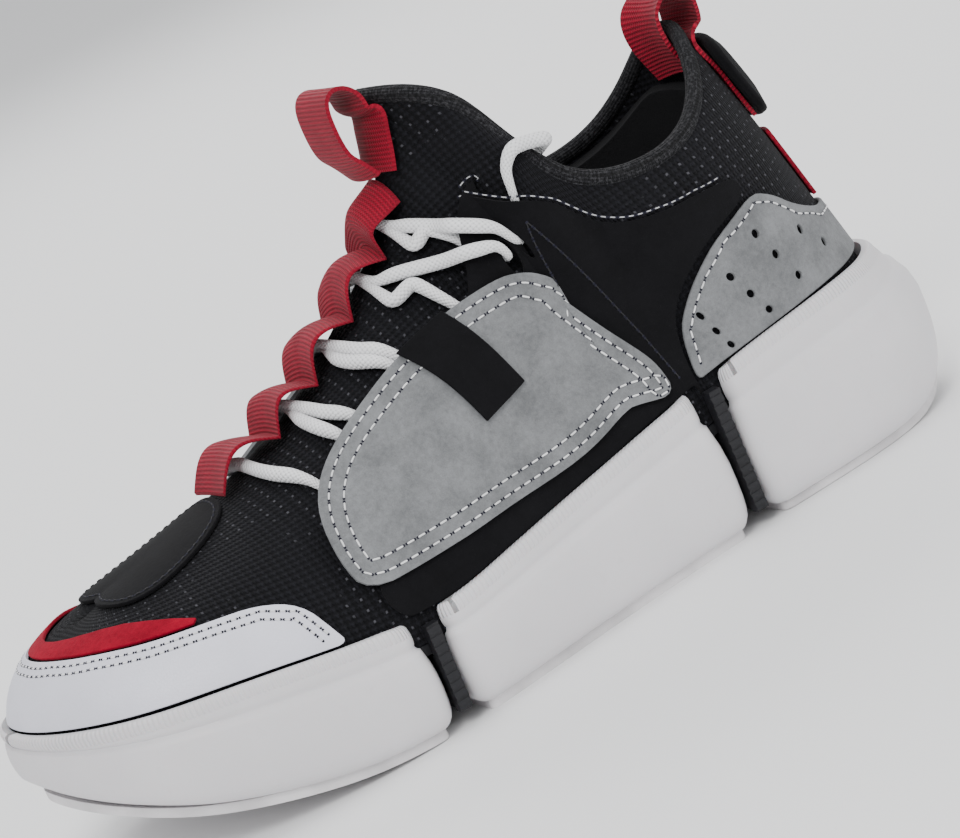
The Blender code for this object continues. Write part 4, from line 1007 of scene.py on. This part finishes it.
edges = {
    "bumper": [(3.72, 0.18), (3.6, 0.31), (3.3, 0.385), (2.9, 0.42), (2.3, 0.47), (1.7, 0.54), (0.9, 0.6),
        (0, 0.62)],
    "quarter": [(4.25, 0.22), (4.6, 0.36), (5.4, 0.47), (6.4, 0.51), (7.3, 0.54), (7.9, 0.585),
        (8.2, 0.6), (8.75, 0.6), (9.4, 0.6), (9.9, 0.6), (10.5, 0.62), (11.2, 0.66), (12, 0.7),
        (12.7, 0.72), (13.3, 0.72), (13.75, 0.7), (14, 0.665)],
    "quarterRear": [(13.9, 0.62), (13.2, 0.6), (12.55, 0.53), (11.9, 0.435), (11.38, 0.34), (11.08, 0.24),
        (11.02, 0.14)],
    "counter": [(11.18, 0.24), (11.5, 0.34), (12, 0.42), (12.6, 0.51), (13.2, 0.58), (14, 0.61),
        (14.35, 0.56), (14.75, 0.47), (15.4, 0.4), (16.2, 0.37)],
    "wing": [(4.15, 0.23), (4.1, 0.36), (4.2, 0.5), (4.5, 0.6), (4.95, 0.645), (5.6, 0.635), (6.3, 0.6),
        (7, 0.565), (7.9, 0.5), (8.6, 0.43), (9.6, 0.35), (10.2, 0.3), (10.42, 0.26), (10.4, 0.19),
        (9.5, 0.175), (8.3, 0.15), (7, 0.145), (5.7, 0.17), (4.9, 0.205)],
    "tab": [(5.98, 0.622), (6.78, 0.583), (7.2, 0.34), (6.35, 0.34)],
}
counterHoles = [(12.1, 0.385), (12.15, 0.33), (12.2, 0.275), (12.95, 0.46), (13.05, 0.39), (13.15, 0.32),
                (13.7, 0.52), (13.8, 0.44), (13.95, 0.35), (14.5, 0.43), (14.85, 0.35)]
eyelets = [(8.55, 0.47), (9.4, 0.50)]
holeRadius = {"eyelet": 2.7, "punch": 1.1}
tight = {"long": 1.7, "pause": 0.9, "radius": 0.2}

quarterStay = [[(9.95, 0.56), (9.45, 0.42), (9.15, 0.36)],
               [(9.95, 0.56), (10.35, 0.42), (10.6, 0.33), (10.75, 0.22)]]
wingRows, bumperRows = (2.7, 6.4), (2.0, 4.3)
webbing = {"thick": 1.2, "strap": 22.0, "loop": 22.0, "hump": 7.1}


def makeSide(side, word):
    suede, face = shoe["suede"], skin + shoe["suede"]
    outline = rimRun(side, 11.0, 4.35) + edges["quarter"] + edges["quarterRear"]
    holes = [ringHole(spot, holeRadius["eyelet"]) for spot in eyelets]
    sewn(word + " quarter", side, outline, skin, suede, "black_suede", "shoe", word + "_quarter",
         holes=holes, lift=laceLift)
    top = beside(side, openPath(edges["quarter"][7:16]), 1.3, False)
    stitches(word + " quarter top stitch", side, top, face, "grey_thread", "shoe", "black_suede", laceLift,
             tight, False)
    for row in quarterStay:
        stitches(word + " quarter stay", side, openPath(row), face, "dark_thread", "shoe", "black_suede",
                 laceLift, tight, False)
    wing, face = word + "_wing", face + shoe["layerGap"]
    sewn(word + " wing", side, edges["wing"], face, suede, "grey_suede", wing, wing, lift=laceLift)
    face += suede
    loop = refined(softened(edges["wing"], 3), 0.05)
    for inset in wingRows:
        stitches(word + " wing stitch %g" % inset, side, inward(side, loop, inset), face, "thread", wing,
                 "grey_suede", laceLift)
    sewn(word + " tab", side, edges["tab"], face + shoe["layerGap"], suede * 0.8, "black_suede", wing,
         word + "_tab", lift=laceLift, spacing=2.0, rounds=0)


makeSide(outer, "lateral")
makeSide(inner, "medial")
print("quarters and wings")


# the same path on the other side, end first, turned over at the toe or at the heel
def overToe(path):
    return [(-u, v) for u, v in path[::-1]]


def overHeel(path):
    return [(2 * heel - u, v) for u, v in path[::-1]]


def makeToe():
    edge = edges["bumper"]
    front = edge + overToe(edge[:-1])
    outline = rimRun(outer, -3.78, 3.78) + front
    sewn("toe bumper", outer, outline, skin, shoe["leather"], "white_leather", "shoe", "toe_bumper")
    line = openPath(front)
    for inset in bumperRows:
        path = beside(outer, line, inset, False)
        stitches("bumper stitch %g" % inset, outer, path, skin + shoe["leather"], "thread", "shoe",
                 "white_leather", size=tight, closed=False)
    over = [(u, v + 0.02) for u, v in edge[3:]]
    inside = [(0, 0.76), (1.2, 0.735), (2.0, 0.67), (2.5, 0.56)]
    outline = over + overToe(over[:-1]) + overToe(inside[1:]) + inside
    sewn("toe accent", outer, outline, skin, shoe["suede"], "red_suede", "shoe", "toe_accent", rounds=1)
    outline = [(2.55, 0.72), (3.0, 0.74), (3.5, 0.80), (3.78, 0.88), (3.83, 1.0), (3.78, 1.12), (3.5, 1.20),
               (3.0, 1.26), (2.55, 1.28), (2.1, 1.22), (1.5, 1.0), (2.1, 0.78)]
    sewn("toe overlay", outer, outline, skin, shoe["suede"], "black_suede", "shoe", "toe_overlay")
    path = inward(outer, refined(softened(outline, 3), 0.05), 1.8)
    stitches("overlay stitch", outer, path, skin + shoe["suede"], "dark_thread", "shoe", "black_suede",
             size=tight)


def makeHeel():
    front = edges["counter"] + [(heel, 0.36)]
    arch = front + overHeel(front[1:])
    outline = rimRun(outer, 22.85, 11.15) + arch
    spots = counterHoles + overHeel(counterHoles)[::-1]
    holes = [ringHole(spot, holeRadius["punch"], 12) for spot in spots]
    sewn("heel counter", outer, outline, skin, shoe["suede"], "grey_suede", "shoe", "heel_counter",
         holes=holes)
    line = openPath(arch)
    paths = [beside(outer, line, 2.6 * sign, False) for sign in (1, -1)]
    path = min(paths, key=lambda one: one[len(one) // 2, 1])
    stitches("counter stitch", outer, path, skin + shoe["suede"], "thread", "shoe", "grey_suede",
             closed=False)
    tab = [(15.95, 0.83), (15.8, 0.76), (15.95, 0.65), (16.25, 0.585), (17.0, 0.57), (17.75, 0.585),
           (18.05, 0.65), (18.2, 0.76), (18.05, 0.83), (17.0, 0.85)]
    pad = sewn("heel tab", outer, tab, skin + 1.9, 3.0, "black_suede", "shoe", "heel_tab", puff=1.2,
               edge=0.8)
    strip = [(16.3, 0.555), (16.3, 0.385), (17.0, 0.375), (17.7, 0.385), (17.7, 0.555), (17.0, 0.55)]
    sewn("heel strip", outer, strip, skin, webbing["thick"], "red_webbing", "shoe", "heel_strip", rounds=0)
    lining = [(12.6, 0.88), (12.6, 0.62), (13.4, 0.55), (15.0, 0.5), (17.0, 0.48), (19.0, 0.5),
              (20.6, 0.55), (21.4, 0.62), (21.4, 0.88), (20.5, 0.95), (19.0, 0.88), (18.0, 0.74),
              (17.0, 0.70), (16.0, 0.74), (15.0, 0.88), (13.5, 0.95)]
    thick = binding["padding"]
    pad = sewn("padded lining", outer, lining, -shoe["layerGap"] - thick, thick, "lining", "shoe",
               "collar_lining", edge=1.2)


makeToe()
makeHeel()
print("toe and heel")


tacks = np.array([3.85, 4.62, 5.25, 6.0, 6.95, 7.95])


# webbing given as cross lines of points with their outward directions
def webbingMesh(name, lines, outs):
    lines, outs = np.array(lines), np.array(outs)
    rows, wide = lines.shape[:2]
    away = pathLength(lines[:, wide // 2])
    width = np.linalg.norm(lines[:, -1] - lines[:, 0], axis=1).mean()
    across = np.linspace(-width / 2, width / 2, wide)
    points, uv = [], []
    for i in range(rows):
        points += list(lines[i]) + list((lines[i] + outs[i] * webbing["thick"])[::-1])
        uv += [(a, away[i]) for a in across] + [(a, away[i]) for a in across[::-1]]
    ring = 2 * wide
    faces = ringFaces(rows, ring)
    for start in (0, ring * (rows - 1)):
        faces += [(start + k, start + k + 1, start + ring - 2 - k, start + ring - 1 - k)
                  for k in range(wide - 1)]
    return edgeRound(makeMesh(name, points, faces, "red_webbing", uv, smooth=60), 0.35)


def ridgeHeight(u, y):
    side = outer if y < 0 else inner
    v = np.linspace(0.4, 1, 61)
    points = last(side, np.full_like(v, u), v)
    reach = np.abs(points[:, 1] - points[-1, 1])
    return side, float(np.interp(-abs(y), -reach, v))


def makeStrap():
    stations = np.concatenate([np.linspace(a, b, 25)[:-1] for a, b in zip(tacks, tacks[1:])] + [tacks[-1:]])
    across = np.linspace(-1, 1, 15) * webbing["strap"] / 2
    lines, outs = [], []
    for u in stations:
        i = min(np.searchsorted(tacks, u, side="right") - 1, len(tacks) - 2)
        share = min((u - tacks[i]) / (tacks[i + 1] - tacks[i]), 1)
        height = shoe["knit"] + shoe["layerGap"] + 0.5 + webbing["hump"] * math.sin(math.pi * share)
        outward = upper(outer, u, 1.0)[1]
        line = []
        for y in across:
            side, v = ridgeHeight(u, y)
            line.append(last(side, u, v) + outward * (height + 1.7 * (2 * y / webbing["strap"]) ** 2))
        lines.append(line)
        outs.append(np.tile(outward, (len(across), 1)))
    declare(webbingMesh("instep strap", lines, outs), "shoe", "red_webbing", "instep_strap")


def foldedLoop(name, path, across, width, bows, body, node):
    even = np.linspace(0, len(path) - 1, 97)
    path, bows = spline(path)(even), spline(bows)(even)[:, 0]
    out = unit(np.cross(unit(np.gradient(path, axis=0)), across))
    places = np.linspace(-1, 1, 15)
    lines = [[p + np.array(across) * k * width / 2 - o * bow * k ** 2 for k in places]
             for p, o, bow in zip(path, out, bows)]
    declare(webbingMesh(name, lines, np.repeat(out[:, None], 15, 1)), body, "red_webbing", node)


def heelBow(z, half, offset):
    heights = np.linspace(0.3, 1.0, 36)
    line = []
    for station in np.linspace(14.5, heel, 26):
        points = upper(outer, np.full_like(heights, station), heights, offset)[0]
        line.append([np.interp(z, points[:, 2], points[:, k]) for k in (0, 1)])
    line = np.array(line)
    aside = np.abs(line[:, 1] - line[-1, 1])
    return line[-1, 0] - np.interp(half, aside[::-1], line[::-1, 0])


def makeLoops():
    near, knit = shoe["knit"] + shoe["gap"] + 0.4, shoe["knit"]
    past = knit / 2 + binding["radius"] + shoe["gap"]
    low, tip = upper(outer, 8.02, 1.0, near)[0], upper(outer, 8.98, 1.0, knit / 2)[0]
    route = [upper(outer, u, 1.0, near)[0] for u in (8.02, 8.25, 8.5, 8.72)]
    route += [tip + (-past - 0.7, 0, 0), tip + (-past - 0.8, 0, 4), tip + (-past - 3.5, 0, 8.5),
              tip + (-past - 8, 0, 9.6), tip + (-past - 11.2, 0, 6.5), tip + (-past - 12.4, 0, 0),
              tip + (-past - 12.2, 0, -8), low + (-7.5, 0, 5), low + (-4.5, 0, -0.5)]
    route = np.array(route)
    route[:, 1] = low[1]
    foldedLoop("tongue loop", route, (0, 1, 0), webbing["strap"],
               [2.6, 2.8, 2.8, 2.4, 1.6, 0.8, 0.2, 0, 0, -0.2, -0.5, -1.2, -1.6], "tongue_loop",
               "tongue_pull_loop")
    top = upper(outer, 17.0, 1.0, knit / 2)[0]
    reach = past + 0.6
    wall = knit + shoe["layerGap"] + webbing["thick"] + 0.1
    sewn = [upper(outer, 17.0, v, wall)[0] for v in (0.86, 0.77, 0.68, 0.60)]
    high = 2 * binding["radius"]
    route = [top + (-reach + 2.9, 0, -11.5), top + (-reach + 1.0, 0, -5), top + (-reach - 0.4, 0, 1.5),
             top + (-reach - 0.4, 0, high + 3), top + (-reach + 1.6, 0, high + 6.6),
             top + (0, 0, high + 8.2), top + (reach + 1.2, 0, high + 7.6), top + (reach + 3.4, 0, high + 4),
             top + (reach + 3.2, 0, 0)] + sewn
    bows = np.array([-3.0, -3.4, -3.8, -3.2, -2.0, -1.0, 0, 1.2, 2.6]
                    + [heelBow(p[2], webbing["loop"] / 2, wall) for p in sewn])
    foldedLoop("heel loop", route, (0, -1, 0), webbing["loop"], -bows, "shoe", "heel_pull_loop")


makeStrap()
makeLoops()
print("webbing")


lace = {"thick": 4.2, "squeeze": 0.55, "room": 3.0, "rows": (4.235, 4.935, 5.625, 6.475, 7.36)}
lowEnds = [(4.5, 0.575), (5.0, 0.59), (5.95, 0.57), (7.25, 0.485), (8.15, 0.535)]
highEnds = [None, (5.3, 0.59), (6.1, 0.565), (8.55, 0.47), (9.4, 0.50)]
squeezed = lace["squeeze"] * lace["thick"] / 2
onKnit = shoe["knit"] + shoe["gap"] + 0.35


def onUpper(side, u, v, offset, radius=1.0):
    return (*upper(side, u, v, offset)[0], radius)


def instepGrid(side):
    u, v = np.meshgrid(np.linspace(3.4, 11.2, 130), np.linspace(0.35, 1, 60), indexing="ij")
    points, normals = upper(side, u, v, 0)
    tree = KDTree(u.size)
    for i, point in enumerate(points.reshape(-1, 3)):
        tree.insert(point, i)
    tree.balance()
    return tree, points.reshape(-1, 3), normals.reshape(-1, 3), u.ravel(), v.ravel()


instep = {side: instepGrid(side) for side in (outer, inner)}
quarterTop = np.array(edges["quarter"])


# points along a taut chord, kept clear of the knit and of the quarter under it
def taut(side, start, end, shares, clearance):
    tree, points, normals, u, v = instep[side]
    result = []
    for share in shares:
        point = np.array(start[:3]) + (np.array(end[:3]) - np.array(start[:3])) * share
        i = tree.find(point)[1]
        low = shoe["knit"] + shoe["gap"] + 0.1 + lace["thick"] / 2 + clearance
        if v[i] < np.interp(u[i], *quarterTop.T) + 0.03:
            low += shoe["layerGap"] + float(laceLift(u[i], v[i])) + shoe["suede"]
        high = np.dot(point - points[i], normals[i])
        result.append((*(point + normals[i] * max(0, low - high)), 1.0))
    return result


def strand(side, row, high):
    end = (highEnds if high else lowEnds)[row]
    middle, half = lace["rows"][row], lace["thick"] / 2
    spread = 0.07 if row < 3 else 0.045
    aside = 0 if row == 0 else spread if high else -spread
    points = [onUpper(side, *end, onKnit + squeezed + 0.1, lace["squeeze"])]
    if high and row >= 3:
        onPanel = skin + lace["room"] + shoe["suede"] + shoe["gap"]
        points += [onUpper(side, end[0] - 0.02, end[1] + 0.006, onPanel, lace["squeeze"]),
                   onUpper(side, end[0] - 0.10, end[1] + 0.035, onPanel + squeezed + 1.6, 0.7)]
        over = onUpper(side, middle + aside, 0.845, onKnit + 0.7 * half + 0.1, 0.7)
        return points + taut(side, points[-1], over, (0.12, 0.25, 0.4, 0.55, 0.7, 0.85), 0.3) + [over]
    leaving = end[0] + (middle - end[0]) * 0.2
    points.append(onUpper(side, leaving, end[1] + 0.075, onKnit + squeezed + 0.4, 0.7))
    nearStrap = (0.8, 0.765) if row < 3 else (0.99, 0.735)
    for share, height in ((0.5, 0.71), nearStrap):
        spot = end[0] + (middle + aside - end[0]) * share
        points.append(onUpper(side, spot, height, onKnit + half + 0.1))
    width = 0.92 if row < 3 else 0.7
    points.append(onUpper(side, middle + aside, 0.845, onKnit + width * half + 0.1, width))
    return points


def laceRow(row, side, startHigh, endHigh, over):
    height = shoe["knit"] + shoe["gap"]
    height += lace["thick"] / 2 if row == 0 else squeezed * (3 if over else 1) + (0.6 if over else 0.1)
    height += 0.5 if row >= 3 else 0.2
    middle = [onUpper(side, lace["rows"][row], 1.0, height, 0.92 if row == 0 else lace["squeeze"])]
    return strand(side, row, startHigh) + middle + strand(-side, row, endHigh)[::-1]


def eased(route, rounds=6):
    line = stepped(np.array(route), 1.0)
    for _ in range(rounds):
        line[1:-1] = (line[:-2] + 2 * line[1:-1] + line[2:]) / 4
    return line


def makeLace():
    route, side = [], outer
    for row in range(4, 0, -1):
        route += laceRow(row, side, True, False, row % 2 == 0)
        side = -side
    route += laceRow(0, side, False, False, False)
    side = -side
    for row in range(1, 5):
        route += laceRow(row, side, False, True, row % 2 == 1)
        side = -side
    line = eased(route)
    piece = tubeMesh("lace", line[:, :3], line[:, 3] * lace["thick"] / 2, "lace_white", 16)
    declare(piece, "shoe", "lace_white", "lace")


# where the free ends lie inside the shoe: x, distance from the middle, height over the sock liner
onLiner = [(60, 22, 6.0), (66, 17, 1.4), (76, 13, 0.1), (88, 12, 0.1), (99, 14, 0.1)]


def makeLaceEnds():
    half, hidden = lace["thick"] / 2, shoe["knit"] + shoe["gap"] + squeezed + 0.1
    liner = 5 * shoe["gap"] + shoe["carrier"] + shoe["board"] + shoe["liner"] + half
    for side, word in ((outer, "lateral"), (inner, "medial")):
        inside = -(shoe["gap"] + binding["padding"] + shoe["gap"] + half)
        edge, outward, rise = collarEdge(11.5 if side == outer else 2 * heel - 11.5)
        crest = edge + rise * (2 * binding["radius"] + 2 * shoe["gap"] + half + 1.8)
        drop = rise * 2.0
        near = shoe["knit"] + shoe["gap"] + half
        route = [onUpper(side, 9.62, 0.515, hidden, lace["squeeze"]),
                 onUpper(side, 9.85, 0.56, hidden, lace["squeeze"]),
                 onUpper(side, 10.1, 0.625, hidden + 0.1, 0.56),
                 onUpper(side, 10.3, 0.69, hidden + 0.4, 0.75),
                 onUpper(side, 10.7, 0.78, near + 0.4), onUpper(side, 11.2, 0.9, near + 1.2),
                 (*(crest + outward * 5.4 - drop), 1.0), (*crest, 1.0),
                 (*(crest - outward * 6.0 - drop), 1.0), onUpper(side, 11.7, 0.86, inside - 1.8),
                 onUpper(side, 11.85, 0.66, inside - 1.8), onUpper(side, 12.1, 0.44, inside - 1.8)]
        route += [(x, side * y, footbed(x) + liner + above, 1.0) for x, y, above in onLiner]
        line = eased(route)
        piece = tubeMesh(word + " lace end", line[:, :3], line[:, 3] * half, "lace_white", 16)
        declare(piece, "shoe", "lace_white", "lace_end_" + word)
        path = [Vector(point) for point in ((line[:, :3] - centre) * mm).tolist()]
        float(pathLength(line)[-1]) * mm


makeLace()
makeLaceEnds()
print("laces")
